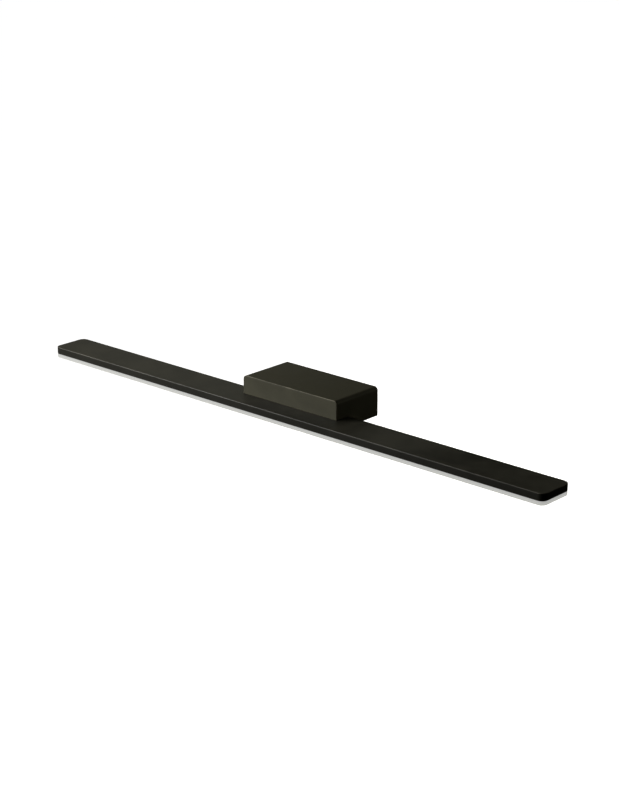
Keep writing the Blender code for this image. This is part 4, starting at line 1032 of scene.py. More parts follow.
@dataclass
class LightBar:
    """The painted trough, the opal tray under it, and the boards between them."""

    corner: float = 0.008
    edge: float = 0.0007
    lip: float = 0.0002
    roof: float = 0.0016
    side: float = 0.0016
    tongue: float = 0.0035
    snap_depth: float = 0.0007
    snap_height: float = 0.0010
    opal_wall: float = 0.0020
    opal_floor: float = 0.0025
    opal_edge: float = 0.0012
    corner_steps: int = 14
    led_size: tuple[float, float, float] = (0.0035, 0.0028, 0.0007)
    led_pitch: float = 0.012
    lens_share: float = 0.42
    board_corner: float = 0.0008
    pad_corner: float = 0.0006
    moulded_corner: float = 0.0003
    moulded_rim: float = 0.0002
    thin_rim: float = 0.0001
    funnel: tuple[float, float] = (0.0010, 0.0012)
    lead_half_pitch: float = 0.0014
    pin_half: float = 0.0004
    low: Vector = field(default_factory=lambda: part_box("bar_housing")[0])
    high: Vector = field(default_factory=lambda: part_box("bar_housing")[1])
    opal_low: float = field(default_factory=lambda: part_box("diffuser")[0].z)

    def sweep(self, name: str, profile: np.ndarray) -> Mesh:
        """Carries an (inset, height) profile round the bar's rounded outline."""
        half = ((self.high.x - self.low.x) / 2, (self.high.y - self.low.y) / 2)
        outline = rounded_outline(half, [self.corner] * 4, profile[:, 0], self.corner_steps)
        centre = (0.0, (self.low.y + self.high.y) / 2, 0.0)
        return grid_mesh(name, lay_out(outline, profile[:, 1], Plane.ACROSS_Z, centre))

    def housing_profile(self) -> np.ndarray:
        """From the middle of the top, over the rim, down the side, and back up inside."""
        full = (self.high.y - self.low.y) / 2
        top, bottom = self.high.z, self.low.z
        edge, soft, lip = self.edge, 2.0 * self.edge, self.lip
        rim = arc_profile((edge, top - edge), edge, 90, 180, 6)
        seat = bottom + self.tongue
        groove = self.side - self.snap_depth
        ceiling = top - self.roof
        return np.vstack([
            [[full, top], [soft, top]], rim, [[0, top - soft], [0, bottom + soft],
            [0, bottom + lip], [lip, bottom], [self.side - lip, bottom], [self.side, bottom + lip],
            [self.side, seat - self.snap_height - GAP], [groove, seat - self.snap_height - GAP],
            [groove, seat + GAP], [self.side, seat + GAP], [self.side, ceiling], [full, ceiling]],
        ])

    def diffuser_profile(self) -> np.ndarray:
        """From the middle of the underside, up the side, over the tongue and down inside."""
        full = (self.high.y - self.low.y) / 2
        bottom, top = self.opal_low, self.low.z - GAP
        edge, soft, lip = self.opal_edge, 1.6 * self.opal_edge, self.lip
        rim = arc_profile((edge, bottom + edge), edge, 270, 180, 6)
        tongue = self.side + GAP
        seat = self.low.z + self.tongue
        ridge = tongue - self.snap_depth
        inner = tongue + self.opal_wall
        floor = bottom + self.opal_floor
        return np.vstack([
            [[full, bottom], [soft, bottom]], rim, [[0, bottom + soft], [0, top - lip], [lip, top],
            [tongue, top], [tongue, seat - self.snap_height], [ridge, seat - self.snap_height],
            [ridge, seat - lip], [ridge + lip, seat], [inner, seat], [inner, floor], [full, floor]],
        ])

    def build(self) -> None:
        """Builds the housing, the diffuser, the LED boards and their plugs."""
        housing = carve(self.sweep("housing_shell", self.housing_profile()),
                        clear_bores((*BAR_SCREWS, LEAD_GROMMET), 0.0))
        # Painted highlight along the rounded rim round the top.
        rim, reach = self.high.z - 0.4 * self.edge, 0.5 * self.edge
        mark_highlight_rims(housing, lambda points: 1.0 - np.abs(points[:, 2] - rim) / reach)
        add_piece("housing_shell", housing, Shades.HOUSING, "bar_housing")
        diffuser = self.sweep("diffuser_tray", self.diffuser_profile())
        # Painted highlight, lighter towards the rounded bottom rim.
        foot, fade = self.opal_low, 2.4 * self.opal_edge
        mark_highlight_rims(diffuser, lambda points: 1.0 - (points[:, 2] - foot) / fade)
        add_piece("diffuser_tray", diffuser, Shades.OPAL, "diffuser")
        for side in ("left", "right"):
            self.build_led_board(side)
        self.build_plugs()

    def build_led_board(self, side: str) -> None:
        """A board, its row of LEDs with phosphor domes, and the pad behind it."""
        low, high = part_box(f"led_board_{side}")
        length, width, tall = self.led_size
        face = low.z + tall
        board = block_mesh("board", (low.x, low.y, face), high, Plane.ACROSS_Z, self.board_corner,
                           self.thin_rim)
        add_piece(f"led_board_{side}_printed", board, Shades.LED_BOARD, f"led_board_{side}")
        count = int((high.x - low.x) / self.led_pitch)
        middle, row = (low + high) / 2, np.arange(count)
        places = middle.x + self.led_pitch * (row - (count - 1) / 2)
        spots = np.column_stack([places, np.full(count, middle.y), np.full(count, face)])
        package = block_mesh("package", (-length / 2, -width / 2, -0.9 * tall),
                             (length / 2, width / 2, tall / 2), Plane.ACROSS_Z,
                             self.moulded_corner, self.thin_rim)
        add_piece(f"led_packages_{side}", repeat_mesh("packages", package, spots),
                  Shades.WHITE_PLASTIC, slot=Shades.LED_BOARD.slot)
        curve, radius = np.radians(np.linspace(0, 90, 6)), self.lens_share * width
        dome = np.column_stack([radius * np.cos(curve), -tall * (0.8 + 0.2 * np.sin(curve))])
        lens = turned_mesh("lens", np.vstack([[0, -0.6 * tall], [radius, -0.6 * tall], dome]),
                           (0, 0, 0), Plane.ACROSS_Z, 20)
        add_piece(f"led_lenses_{side}", repeat_mesh("lenses", lens, spots), Shades.PHOSPHOR)
        pad = f"thermal_pad_{side}"
        add_piece(f"{pad}_cut", node_block(pad, self.pad_corner, 1.2 * self.thin_rim), Shades.PAD,
                  pad)

    def build_plugs(self) -> None:
        """The connector, with a funnel for each lead, and the jumper, with its pins showing."""
        middle, rear = centre_of("board_connector"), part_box("board_connector")[1].y
        funnels = [bore_mesh((middle.x + x, rear, middle.z), *self.funnel, Plane.ACROSS_Y)
                   for x in (-self.lead_half_pitch, self.lead_half_pitch)]
        low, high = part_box("board_jumper")
        centre, half = (low + high) / 2, self.pin_half
        windows = [block_mesh("window", (x - half, centre.y - 3 * half, low.z - half),
                              (x + half, centre.y + 3 * half, low.z + half))
                   for x in (low.x + 5 * half, centre.x, high.x - 5 * half)]
        for name, cutters in (("board_connector", funnels), ("board_jumper", windows)):
            shell = node_block(name, self.moulded_corner, self.moulded_rim)
            add_piece(f"{name}_moulded", carve(shell, cutters), Shades.WHITE_PLASTIC, name)


@dataclass
class Hardware:
    """Screws, washers, nuts and the strip of plated steel."""

    washer_teeth: int = 14
    tooth_depth: float = 0.0005
    nut_rows: int = 13
    nut_sides: int = 72
    nut_cone: tuple[float, float] = (0.95, 1.6)
    tapped_share: float = 0.08
    clamp_corner: float = 0.0012
    clamp_rim: float = 0.0002
    through: float = 0.02
    ring_thickness: float = 0.0007
    ring_rim: float = 0.0001
    neck_half: float = 0.0011
    barrel_half: float = 0.00154
    barrel_corner: float = 0.0010
    crimp_half: float = 0.0005
    crimp_depth: float = 0.0004
    grommet_wall: float = 0.0013

    def build_washer(self, name: str, body: Body, plane: Plane) -> None:
        """A washer with a serrated rim: its outer radius is a cosine of the angle."""
        low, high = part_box(name)
        axis = plane.value[2]
        thick = high[axis] - low[axis]
        angle = np.linspace(0, FULL_TURN, 12 * self.washer_teeth, endpoint=False)
        tooth = 0.5 + 0.5 * np.cos(self.washer_teeth * angle)
        rim = (high.x - low.x) / 2 - self.tooth_depth * tooth
        bore = np.full_like(rim, Screw.of(name).clear)
        soft = 0.15 * thick
        radius = np.stack([bore, rim - soft, rim, rim, rim - soft, bore])
        height = np.array([0, 0, soft, thick - soft, thick, thick])
        mesh = round_mesh(name, radius, height, foot_of(name, plane), plane, closed=True)
        add_piece(f"{name}_toothed", mesh, Shades.ZINC, name, body=body)

    def build_nut(self, name: str) -> None:
        """A hexagon nut: the lesser of a hexagon and a cone at each height, with a tapped bore."""
        low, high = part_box(name)
        flat, tall = (high.x - low.x) / 2, high.z - low.z
        thread = Screw.of(name)
        angle = np.linspace(0, FULL_TURN, self.nut_sides, endpoint=False)
        sixth = FULL_TURN / 6
        hexagon = flat / np.cos((angle + sixth / 2) % sixth - sixth / 2)
        rise = np.linspace(0, tall, self.nut_rows)
        share, slope = self.nut_cone
        cone = share * flat + slope * np.minimum(rise, tall - rise)
        outside = np.minimum(hexagon[None], cone[:, None])
        groove = wave(rise[::-1, None] / thread.pitch - angle[None] / FULL_TURN)
        inside = thread.clear * (1 + self.tapped_share * groove)
        mesh = round_mesh(name, np.vstack([outside, inside]), np.concatenate([rise, rise[::-1]]),
                          foot_of(name), Plane.ACROSS_Z, closed=True)
        add_piece(f"{name}_tapped", mesh, Shades.ZINC, name)

    def build_clamp(self) -> None:
        """The strip inside the bar that the bar screws bite into."""
        strip = node_block("bar_clamp_strip", self.clamp_corner, self.clamp_rim)
        bores = clear_bores((*BAR_SCREWS, LEAD_GROMMET), self.through)
        add_piece("clamp_strip_drilled", carve(strip, bores), Shades.ZINC, "bar_clamp_strip")

    def build_earth_ring(self) -> None:
        """The ring terminal: a drilled disc, a neck, and a crimped barrel."""
        low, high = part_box("earth_ring")
        spot = centre_of("bar_screw_1")
        outer, thick, rim = (high.x - low.x) / 2, self.ring_thickness, self.ring_rim
        profile = [[0, 0], [outer - rim, 0], [outer, rim], [outer, thick - rim],
                   [outer - rim, thick], [0, thick]]
        disc = turned_mesh("ring", profile, (spot.x, spot.y, low.z), Plane.ACROSS_Z, 48)
        neck = block_mesh("neck", (spot.x - self.neck_half, spot.y, low.z),
                          (spot.x + self.neck_half, high.y - 2 * rim, low.z + thick))
        barrel = block_mesh("barrel", (spot.x - self.barrel_half, spot.y + outer + GAP, low.z),
                            (spot.x + self.barrel_half, high.y, high.z), Plane.ACROSS_Y,
                            self.barrel_corner, 2 * rim)
        half = self.crimp_half
        crimp = block_mesh("crimp", (spot.x - half, spot.y + outer + 4 * GAP,
                                     high.z - self.crimp_depth),
                           (spot.x + half, high.y - 4 * GAP, high.z + outer))
        hole = bore_mesh(spot, Screw.of("bar_screw_1").clear, self.through, Plane.ACROSS_Z)
        add_piece("earth_ring_crimped", carve(disc, [crimp, hole], [neck, barrel]), Shades.ZINC,
                  "earth_ring")

    def build(self) -> None:
        """Builds every plated piece but the bracket."""
        for name in (*BAR_SCREWS, *FIXING_SCREWS):
            Screw.of(name).build(name, Shades.ZINC)
        for name, body in zip(LOCK_SCREWS, (Body.LOCK_LEFT, Body.LOCK_RIGHT)):
            Screw.of(name).build(name, Shades.ZINC, body, towards=-1.0)
        earth = "bracket_earth_screw"
        Screw.of(earth).build(earth, Shades.ZINC, Body.BRACKET, Plane.ACROSS_Y, -1.0)
        for number in (2, 3, 4):
            self.build_washer(f"bar_washer_{number}", Body.LAMP, Plane.ACROSS_Z)
        self.build_washer("bracket_earth_washer", Body.BRACKET, Plane.ACROSS_Y)
        for name in ("lock_nut_left", "lock_nut_right"):
            self.build_nut(name)
        self.build_clamp()
        self.build_earth_ring()
        build_grommet(LEAD_GROMMET, Body.LAMP, Plane.ACROSS_Z, 1.0, LEAD_HOLE - GAP,
                      self.grommet_wall)


@dataclass
class TerminalBlock:
    """The three-pole nylon block and its brass screws."""

    poles: tuple[str, ...] = ("earth", "neutral", "live")
    base: float = 0.0055
    bore: float = 0.0014
    tower_half: float = 0.0034
    wall: float = 0.0012
    ear: float = 0.007
    ear_thickness: float = 0.0025
    edge: float = 0.0004
    body_corner: float = 0.0008
    tower_corner: float = 0.0009
    funnel_depth: float = 0.0008
    funnel_share: float = 1.45
    through: float = 0.01

    def build(self) -> None:
        """Joins the base, the ear and the towers, then bores them."""
        low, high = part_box("terminal_block")
        left = low.x + self.ear
        middle = (low.y + high.y) / 2
        bore_z = low.z + self.base
        body = block_mesh("base", (left, low.y, low.z),
                          (high.x, high.y, bore_z + self.bore + self.wall), Plane.ACROSS_Z,
                          self.body_corner, self.edge)
        half = self.ear / 2
        joins = [block_mesh("ear", (low.x, middle - half, low.z),
                            (left + half, middle + half, low.z + self.ear_thickness),
                            Plane.ACROSS_Z, 0.3 * self.ear, 0.6 * self.edge)]
        cutters = [bore_mesh(centre_of(FIXING_SCREWS[0]), Screw.of(FIXING_SCREWS[0]).clear,
                             self.through, Plane.ACROSS_Z)]
        bore, proud = self.bore, 0.0001
        funnel = [[0, -self.funnel_depth], [bore, -self.funnel_depth],
                  [self.funnel_share * bore, proud], [0, proud]]
        for pole in self.poles:
            x = centre_of(f"terminal_screw_{pole}_load").x
            joins.append(block_mesh("tower", (x - self.tower_half, low.y + self.wall, bore_z),
                                    (x + self.tower_half, high.y - self.wall, high.z),
                                    Plane.ACROSS_Z, self.tower_corner, self.edge))
            cutters.append(bore_mesh((x, middle, bore_z), bore, high.y - low.y, Plane.ACROSS_Y))
            for y, towards in ((low.y, -1.0), (high.y, 1.0)):
                cutters.append(turned_mesh("funnel", funnel, (x, y, bore_z), Plane.ACROSS_Y, 24,
                                           towards))
            for end in ("supply", "load"):
                name = f"terminal_screw_{pole}_{end}"
                screw, spot = Screw.of(name), centre_of(name)
                cutters.append(bore_mesh((spot.x, spot.y, high.z), screw.clear, high.z - bore_z,
                                         Plane.ACROSS_Z))
                screw.build(name, Shades.BRASS)
        add_piece("terminal_block_moulded", carve(body, cutters, joins), Shades.NYLON,
                  "terminal_block")


@dataclass
class BoardParts:
    """The driver's board and the parts on it."""

    board_corner: float = 0.0006
    rim: float = 0.0001
    sides: int = 40
    can_lip: float = 0.0005
    can_recess: float = 0.0002
    groove_height: float = 0.0016
    groove_radius: float = 0.0006
    top_depth: float = 0.0006
    top_chamfer: tuple[float, float] = (0.0002, 0.00005)
    score: float = 0.00012
    score_share: float = 0.7
    drum_disc: float = 0.0013
    drum_lip: float = 0.0003
    drum_waist: float = 0.62
    wire: float = 0.00028
    wound: tuple[float, float] = (0.64, 0.86)
    proud: float = 0.0012
    core_corner: float = 0.0005
    core_rim: float = 0.0003
    seam: tuple[float, float] = (0.00008, 0.0002)
    band: float = 0.0035
    leg: float = 0.0004

    def build_can(self, name: str) -> None:
        """A capacitor: a sleeve with a rolled groove, and a can top with a cross vent."""
        low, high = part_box(name)
        radius, tall = (high.x - low.x) / 2, high.z - low.z
        lip, recess = self.can_lip, self.can_recess
        groove = arc_profile((radius + recess, self.groove_height), self.groove_radius, 250, 110, 8)
        profile = np.vstack([[[0, 0], [radius - lip, 0], [radius, lip]], groove,
                             arc_profile((radius - lip, tall - lip), lip, 0, 90, 6),
                             [[radius - 2 * lip, tall - recess], [0, tall - recess]]])
        sleeve = turned_mesh(name, profile, foot_of(name), Plane.ACROSS_Z, self.sides)
        add_piece(f"{name}_sleeve", sleeve, Shades.SLEEVE, name)
        inner, (across, down) = radius - 2.4 * lip, self.top_chamfer
        top = foot_of(name, towards=-1.0)
        disc = turned_mesh("can_top", [[0, -self.top_depth], [inner, -self.top_depth],
                                       [inner, -down], [inner - across, 0], [0, 0]], top,
                           Plane.ACROSS_Z, self.sides)
        score, long = self.score, self.score_share * inner
        bars = [block_mesh("score", top - Vector(half), top + Vector(half))
                for half in ((long, score, score), (score, long, score))]
        add_piece(f"{name}_top", carve(disc, bars), Shades.ZINC)

    def build_choke(self) -> None:
        """A drum core, and its winding: a helix of wire as ripples on a barrel."""
        low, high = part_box("driver_choke")
        radius, tall = (high.x - low.x) / 2, high.z - low.z
        foot = foot_of("driver_choke")
        disc, lip, waist = self.drum_disc, self.drum_lip, self.drum_waist * radius
        profile = [[0, 0], [radius - lip, 0], [radius, lip], [radius, disc - lip],
                   [radius - lip, disc], [waist, disc], [waist, tall - disc],
                   [radius - lip, tall - disc], [radius, tall - disc + lip], [radius, tall - lip],
                   [radius - lip, tall], [0, tall]]
        drum = turned_mesh("drum", profile, foot, Plane.ACROSS_Z, self.sides)
        add_piece("choke_drum", drum, Shades.FERRITE, "driver_choke")
        span, turn = tall - 2 * disc, 2 * self.wire
        rows = np.linspace(0, span, int(8 * span / turn))
        angle = np.linspace(0, 1, self.sides, endpoint=False)
        phase = (rows[:, None] / turn - angle[None]) % 1
        ripple = self.wire * np.sqrt(np.maximum(1 - (2 * phase - 1) ** 2, 0))
        outside = self.wound[1] * radius - self.wire + ripple
        inside = np.full((2, self.sides), self.wound[0] * radius)
        mesh = round_mesh("winding", np.vstack([outside, inside]),
                          disc + np.concatenate([rows, [span, 0]]), foot, Plane.ACROSS_Z,
                          closed=True)
        add_piece("choke_winding", mesh, Shades.COPPER)

    def build_transformer(self) -> None:
        """A split ferrite core round a taped winding."""
        low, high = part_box("driver_transformer")
        proud, band = self.proud, self.band
        middle = (low + high) / 2
        core = block_mesh("core", (low.x, low.y + proud, low.z), (high.x, high.y - proud, high.z),
                          Plane.ACROSS_X, self.core_corner, self.core_rim)
        half, depth = self.seam
        seam = block_mesh("seam", (low.x - proud, middle.y - half, high.z - depth),
                          (high.x + proud, middle.y + half, high.z + proud))
        window = block_mesh("window", (middle.x - band - GAP, low.y - proud, low.z + proud),
                            (middle.x + band + GAP, high.y + proud, high.z - proud))
        add_piece("transformer_core", carve(core, [seam, window]), Shades.FERRITE,
                  "driver_transformer")
        winding = block_mesh("taped", (middle.x - band, low.y, low.z + proud),
                             (middle.x + band, high.y, high.z - proud), Plane.ACROSS_X,
                             proud, self.core_rim, 6)
        add_piece("transformer_winding", winding, Shades.TAPE)

    def build_rectifier(self) -> None:
        """A moulded bridge with four bent legs and a pin-one dimple."""
        low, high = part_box("driver_rectifier")
        leg, rim = self.leg, self.core_rim
        body = block_mesh("bridge", (low.x + leg, low.y + leg, low.z + leg),
                          (high.x - leg, high.y - leg, high.z), Plane.ACROSS_Z, rim, rim)
        spot = (low.x + 4 * leg, low.y + 4 * leg, high.z)
        add_piece("rectifier_body", carve(body, [bore_mesh(spot, leg, leg / 4, Plane.ACROSS_Z)]),
                  Shades.CASE, "driver_rectifier")
        blank = block_mesh("leg", (-leg, -leg, 0), (leg, leg, 2 * leg), Plane.ACROSS_Z, self.rim,
                           self.rim)
        across = low.x + 1.5 * leg, high.x - 1.5 * leg
        spots = np.array([(x, y, low.z) for x in across for y in (low.y + leg, high.y - leg)])
        add_piece("rectifier_legs", repeat_mesh("legs", blank, spots), Shades.ZINC,
                  slot=Shades.CASE.slot)

    def build(self) -> None:
        """Builds the board and every part on it."""
        board = node_block("driver_board", self.board_corner, self.rim)
        add_piece("driver_board_printed", board, Shades.CIRCUIT, "driver_board")
        for name in ("driver_input_capacitor", "driver_output_capacitor"):
            self.build_can(name)
        self.build_choke()
        self.build_transformer()
        self.build_rectifier()


@dataclass
class Driver:
    """The LED driver: a vented case with a lid, its board and the parts on it."""

    wall: float = 0.0012
    ear: float = 0.007
    ear_thickness: float = 0.0020
    ear_corner: float = 0.0015
    rail: float = 0.0012
    rail_height: float = 0.0020
    edge: float = 0.0004
    room_corner: float = 0.0006
    through: float = 0.004
    vents: int = 12
    vent_pitch: float = 0.0062
    vent_half: tuple[float, float] = (0.0007, 0.0032)
    vent_height: float = -0.004
    lead_height: float = -0.0088
    mains: float = 0.0011
    mains_forward: tuple[float, float] = (0.008, 0.003)
    output: float = 0.0009
    output_forward: tuple[float, float] = (0.008, 0.004)
    case: tuple[Vector, Vector] = field(default_factory=lambda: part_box("driver_lid"))
    low: Vector = field(default_factory=lambda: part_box("driver_tray")[0])
    high: Vector = field(default_factory=lambda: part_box("driver_tray")[1])

    def inner(self, name: str, inset: float, bottom: float, top: float) -> Mesh:
        """A block inside the case's outline, set in from it."""
        left, right = self.case[0].x + inset, self.case[1].x - inset
        return block_mesh(name, (left, self.low.y + inset, bottom),
                          (right, self.high.y - inset, top), Plane.ACROSS_Z, self.room_corner)

    def vent_row(self, y: float) -> Mesh:
        """A row of upright cutters through a wall."""
        wide, tall = self.vent_half
        height, deep = self.vent_height, 2 * self.wall
        slot = block_mesh("vent", (-wide, y - deep, height - tall), (wide, y + deep, height + tall),
                          Plane.ACROSS_Y, 0.95 * wide)
        middle = (self.case[0].x + self.case[1].x) / 2
        places = middle + self.vent_pitch * (np.arange(self.vents) - (self.vents - 1) / 2)
        zeros = np.zeros_like(places)
        return repeat_mesh("vents", slot, np.column_stack([places, zeros, zeros]))

    def tray_cutters(self) -> list[Mesh]:
        """The tray's rooms, vents, screw holes and lead entries."""
        low, high, wall = self.low, self.high, self.wall
        floor = low.z + wall
        cutters = [self.inner("upper_room", wall, floor + self.rail_height, high.z + wall),
                   self.inner("lower_room", wall + self.rail, floor, high.z),
                   self.vent_row(high.y), self.vent_row(low.y)]
        for name in FIXING_SCREWS[1:]:
            cutters.append(bore_mesh(centre_of(name), Screw.of(name).clear, self.through,
                                     Plane.ACROSS_Z))
        ends = ((self.case[0].x, self.mains, self.mains_forward),
                (self.case[1].x, self.output, self.output_forward))
        middle = (low.y + high.y) / 2
        for x, radius, entries in ends:
            for forward in entries:
                spot = (x, middle - forward, self.lead_height)
                cutters.append(bore_mesh(spot, radius + GAP, 2 * wall, Plane.ACROSS_X, 20))
        return cutters

    def build(self) -> None:
        """Builds the tray with its ears, the lid, the board and every part on it."""
        low, high, wall, edge = self.low, self.high, self.wall, self.edge
        left, right = self.case[0].x, self.case[1].x
        middle = (low.y + high.y) / 2
        tray = block_mesh("tray", (left, low.y, low.z), (right, high.y, high.z), Plane.ACROSS_Z,
                          wall, edge)
        joins = [block_mesh("ear", (start, middle - self.ear / 2, low.z),
                            (end, middle + self.ear / 2, low.z + self.ear_thickness),
                            Plane.ACROSS_Z, self.ear_corner, 0.5 * edge)
                 for start, end in ((low.x, left + wall / 2), (right - wall / 2, high.x))]
        add_piece("driver_tray_vented", carve(tray, self.tray_cutters(), joins),
                  Shades.WHITE_PLASTIC, "driver_tray")
        base, top = self.case
        seat = high.z + GAP
        lid = block_mesh("lid", (left, base.y, seat), (right, top.y, top.z), Plane.ACROSS_Z, wall,
                         edge)
        plug = self.inner("plug", wall + GAP, base.z, seat + GAP)
        panel = self.inner("panel", 3 * wall, top.z - 0.4 * wall, top.z + wall)
        add_piece("driver_lid_panelled", carve(lid, [panel], [plug]), Shades.WHITE_PLASTIC,
                  "driver_lid")
        BoardParts().build()


@dataclass
class Leads:
    """The leads inside the canopy, swept along smooth routes."""

    entry: float = 0.003
    stub: float = 0.0015
    bend: float = 0.004
    swing: float = 0.008
    turn: float = 0.003
    rise: float = 0.0035
    drop: float = 0.0025
    crossing: float = 0.0015
    ahead: float = 0.001
    behind: float = 0.002
    spread: float = 0.0012
    clearance: float = 0.003
    driver: Driver = field(default_factory=Driver)
    riser: float = field(default_factory=lambda: Canopy().bar_rear + GAP + Canopy().wall)
    exit_y: float = field(default_factory=lambda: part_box("terminal_block")[0].y - GAP)
    bore_z: float = field(
        default_factory=lambda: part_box("terminal_block")[0].z + TerminalBlock().base)

    def build_mains(self) -> None:
        """Live and neutral: from the terminal block, round a bend and into the driver."""
        exit_y, bore_z, radius = self.exit_y, self.bore_z, self.driver.mains
        left = self.driver.case[0].x
        near = left - self.driver.wall
        middle = centre_of("driver_lid").y
        height = self.driver.lead_height
        poles = (("live", Shades.BROWN), ("neutral", Shades.BLUE))
        for (pole, finish), forward in zip(poles, reversed(self.driver.mains_forward)):
            x = centre_of(f"terminal_screw_{pole}_load").x
            entry_y = middle - forward
            bend_y = max(min(exit_y - self.bend, entry_y), self.riser + 2 * radius)
            route = [(x, exit_y, bore_z), (x, exit_y - self.stub, bore_z),
                     ((2 * x + near) / 3, bend_y, (bore_z + height) / 2),
                     (near - self.bend, entry_y, height), (near, entry_y, height),
                     (left + self.entry, entry_y, height)]
            name = f"mains_lead_{pole}"
            add_piece(f"{name}_insulated", tube_mesh(name, route, radius), finish, name)

    def build_earth(self) -> None:
        """Earth: from the terminal block to the ring under the first bar screw."""
        exit_y, bore_z, radius = self.exit_y, self.bore_z, self.driver.mains
        x, ring_x = centre_of("terminal_screw_earth_load").x, centre_of("bar_screw_1").x
        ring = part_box("earth_ring")
        ring_end, ring_z = ring[1].y + GAP, ring[0].z + 1.2 * radius
        swing_y = max(exit_y - self.swing, (exit_y + self.riser) / 2)
        route = [(x, exit_y, bore_z), (x, exit_y - self.stub, bore_z),
                 ((x + ring_x) / 2, swing_y, (bore_z + ring_z) / 2),
                 (ring_x, self.riser + self.clearance, ring_z),
                 (ring_x, ring_end + self.stub, ring_z), (ring_x, ring_end, ring_z)]
        add_piece("earth_lead_striped", tube_mesh("earth_lead", route, radius, 20), Shades.EARTH,
                  "earth_lead")

    def build_output(self) -> None:
        """The pair from the driver, over the ledge, down the grommet and to the connector."""
        driver, radius = self.driver, self.driver.output
        right, middle = driver.case[1].x, centre_of("driver_lid").y
        turn_x = right + driver.ear / 2
        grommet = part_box(LEAD_GROMMET)
        screws, lead_x = centre_of("bar_screw_4").y, centre_of(LEAD_GROMMET).x
        above, clamp = grommet[1].z - GAP + 3 * radius, grommet[0].z
        board_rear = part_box("board_connector")[1].y
        below, height = centre_of("board_connector").z, driver.lead_height
        poles = (("positive", 1, Shades.RED), ("negative", -1, Shades.BLACK))
        for (pole, sign, finish), forward in zip(poles, driver.output_forward):
            x, y, drop = lead_x + sign * self.spread, middle - forward, sign * self.crossing
            over = above + self.rise - drop
            route = [(right - self.entry, y, height), (right + radius, y, height),
                     (turn_x, y - self.turn, height + self.turn),
                     (turn_x, self.riser - self.ahead, over),
                     ((turn_x + x) / 2, screws + self.behind, over),
                     (x + self.turn, screws, above + self.drop - drop), (x, screws, above),
                     (x, screws, above - radius), (x, screws, clamp), (x, screws, clamp - radius),
                     (x, (screws + board_rear) / 2, below), (x, board_rear + GAP, below)]
            name = f"output_lead_{pole}"
            add_piece(f"{name}_insulated", tube_mesh(name, route, radius), finish, name)

    def build(self) -> None:
        """Builds every lead."""
        self.build_mains()
        self.build_earth()
        self.build_output()


# ---- Studio --------------------------------------------------------------------------------


@dataclass(frozen=True)
class Softbox:
    """A rectangular studio lamp that the camera doesn't see."""

    name: str
    spot: Point
    aim: Point
    size: tuple[float, float]
    power: float
    colour: Colour = (1.0, 1.0, 1.0)

    def build(self) -> None:
        """Makes the lamp and turns it to its aim."""
        data = bpy.data.lights.new(self.name, "AREA")
        data.shape = "RECTANGLE"
        data.size, data.size_y = self.size
        data.energy = self.power
        data.color = self.colour
        lamp = bpy.data.objects.new(self.name, data)
        lamp.location = self.spot
        ahead = Vector(self.aim) - Vector(self.spot)
        lamp.rotation_euler = ahead.to_track_quat("-Z", "Y").to_euler()
        lamp.visible_camera = False
        bpy.context.scene.collection.objects.link(lamp)


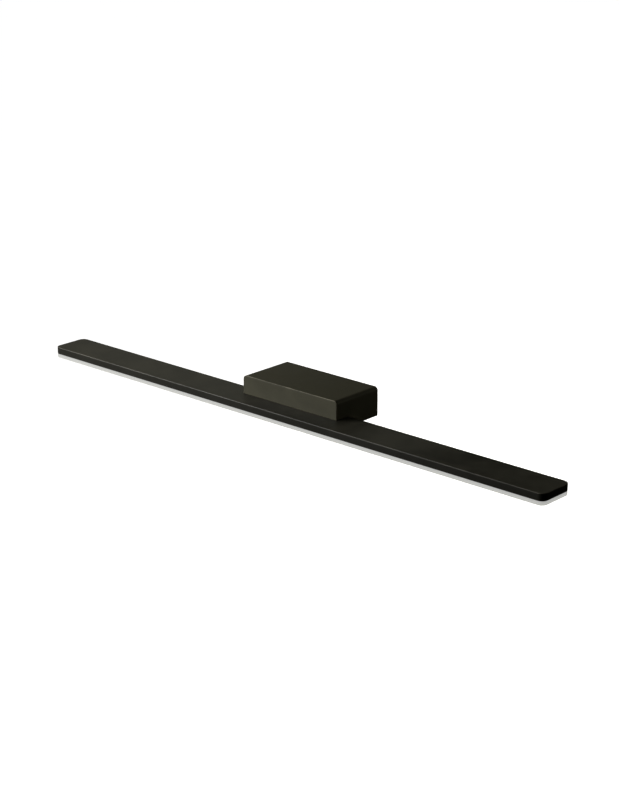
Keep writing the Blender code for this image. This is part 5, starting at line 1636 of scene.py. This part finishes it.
@dataclass
class Studio:
    """Pale floor, white surroundings, soft lights and the camera."""

    floor_drop: float = 0.45
    floor_half: float = 30.0
    azimuth: float = 42.17
    elevation: float = 18.90
    distance: float = 2.35
    lens: float = 87.4
    clip: tuple[float, float] = (0.01, 200.0)
    room_light: float = 0.004
    room_colour: Colour = (1.0, 0.985, 0.93)
    aim_offset: Point = (0.027, -0.0165, 0.0088)
    lamps: tuple[Softbox, ...] = (
        Softbox("key_light", (-0.86, -0.94, 0.44), (0.0, -0.08, 0.0), (0.8, 0.8), 16.4),
        Softbox("back_left_light", (-1.2, 1.0, 0.5), (0.0, -0.08, 0.0), (0.8, 0.5), 0.42,
                (1.0, 0.99, 0.82)),
        Softbox("wall_side_light", (0.2, 1.7, 0.2), (0.0, 0.0, 0.0), (1.2, 0.6), 6.3,
                (1.0, 0.97, 0.70)),
        Softbox("behind_light", (-0.3, 1.9, -0.33), (0.0, 0.0, -0.02), (0.5, 0.3), 22.0),
    )

    def build_camera(self) -> None:
        """The camera: it stands off from a point near the object's middle."""
        aim = (CAD_BOX[0] + CAD_BOX[1]) / 2 + Vector(self.aim_offset)
        turn, tilt = math.radians(self.azimuth), math.radians(self.elevation)
        back = Vector((math.sin(turn) * math.cos(tilt), -math.cos(turn) * math.cos(tilt),
                       math.sin(tilt)))
        data = bpy.data.cameras.new("studio_camera")
        data.lens = self.lens
        data.clip_start, data.clip_end = self.clip
        camera = bpy.data.objects.new("studio_camera", data)
        camera.location = aim + self.distance * back
        camera.rotation_euler = (QUARTER - tilt, 0.0, turn)
        bpy.context.scene.collection.objects.link(camera)
        bpy.context.scene.camera = camera

    def mix_output(self, tree: Tree, factor: Socket,
                   first: Node, second: Node, output: str) -> None:
        """Sends a mix of two shaders to a tree's output."""
        nodes = Nodes(tree)
        mixed = nodes.add("ShaderNodeMixShader")
        nodes.link(factor, mixed.inputs[0])
        nodes.link(first.outputs[0], mixed.inputs[1])
        nodes.link(second.outputs[0], mixed.inputs[2])
        nodes.link(mixed.outputs[0], tree.nodes[output].inputs[0])

    def build_floor(self) -> None:
        """A pale floor well under the light, which only the camera sees, and only from above."""
        height = CAD_BOX[0].z - self.floor_drop
        mesh = bpy.data.meshes.new("studio_floor")
        reach = self.floor_half
        corners = [(-reach, -reach, height), (reach, -reach, height), (reach, reach, height),
                   (-reach, reach, height)]
        mesh.from_pydata(corners, [], [(0, 1, 2, 3)])
        material = bpy.data.materials.new("pale_floor")
        material.use_nodes = True
        tree = material.node_tree
        shader = tree.nodes["Principled BSDF"]
        shader.inputs["Base Color"].default_value = (0.9, 0.9, 0.9, 1.0)
        shader.inputs["Roughness"].default_value = 0.9
        shader.inputs["Emission Color"].default_value = (1.0, 1.0, 1.0, 1.0)
        shader.inputs["Emission Strength"].default_value = 1.0
        nodes = Nodes(tree)
        behind = nodes.add("ShaderNodeNewGeometry").outputs["Backfacing"]
        self.mix_output(tree, behind, shader, nodes.add("ShaderNodeBsdfTransparent"),
                        "Material Output")
        mesh.materials.append(material)
        floor = bpy.data.objects.new("studio_floor", mesh)
        floor.visible_diffuse = False
        floor.visible_glossy = False
        bpy.context.scene.collection.objects.link(floor)

    def build_world(self) -> None:
        """White to the camera, and a dim, warm room as light."""
        world = bpy.data.worlds.new("studio")
        bpy.context.scene.world = world
        world.use_nodes = True
        nodes = Nodes(world.node_tree)
        room = world.node_tree.nodes["Background"]
        room.inputs["Color"].default_value = (*self.room_colour, 1.0)
        room.inputs["Strength"].default_value = self.room_light
        white = nodes.add("ShaderNodeBackground", {"Color": (1, 1, 1, 1), "Strength": 1.0})
        seen = nodes.add("ShaderNodeLightPath").outputs["Is Camera Ray"]
        self.mix_output(world.node_tree, seen, room, white, "World Output")

    def build(self) -> None:
        """Builds the whole studio."""
        bpy.context.scene.view_settings.view_transform = "Standard"
        self.build_camera()
        self.build_floor()
        self.build_world()
        for lamp in self.lamps:
            lamp.build()


def main() -> None:
    """Builds the studio, then each sub-assembly in order."""
    logging.basicConfig(level=logging.INFO, format="%(name)s: %(message)s")
    Studio().build()
    kinds = (Bracket, Canopy, LightBar, Hardware, TerminalBlock, Driver, Leads)
    for assembly in [kind() for kind in kinds]:
        assembly.build()
        LOG.info("%s is built", type(assembly).__name__)


if __name__ == "__main__":
    main()
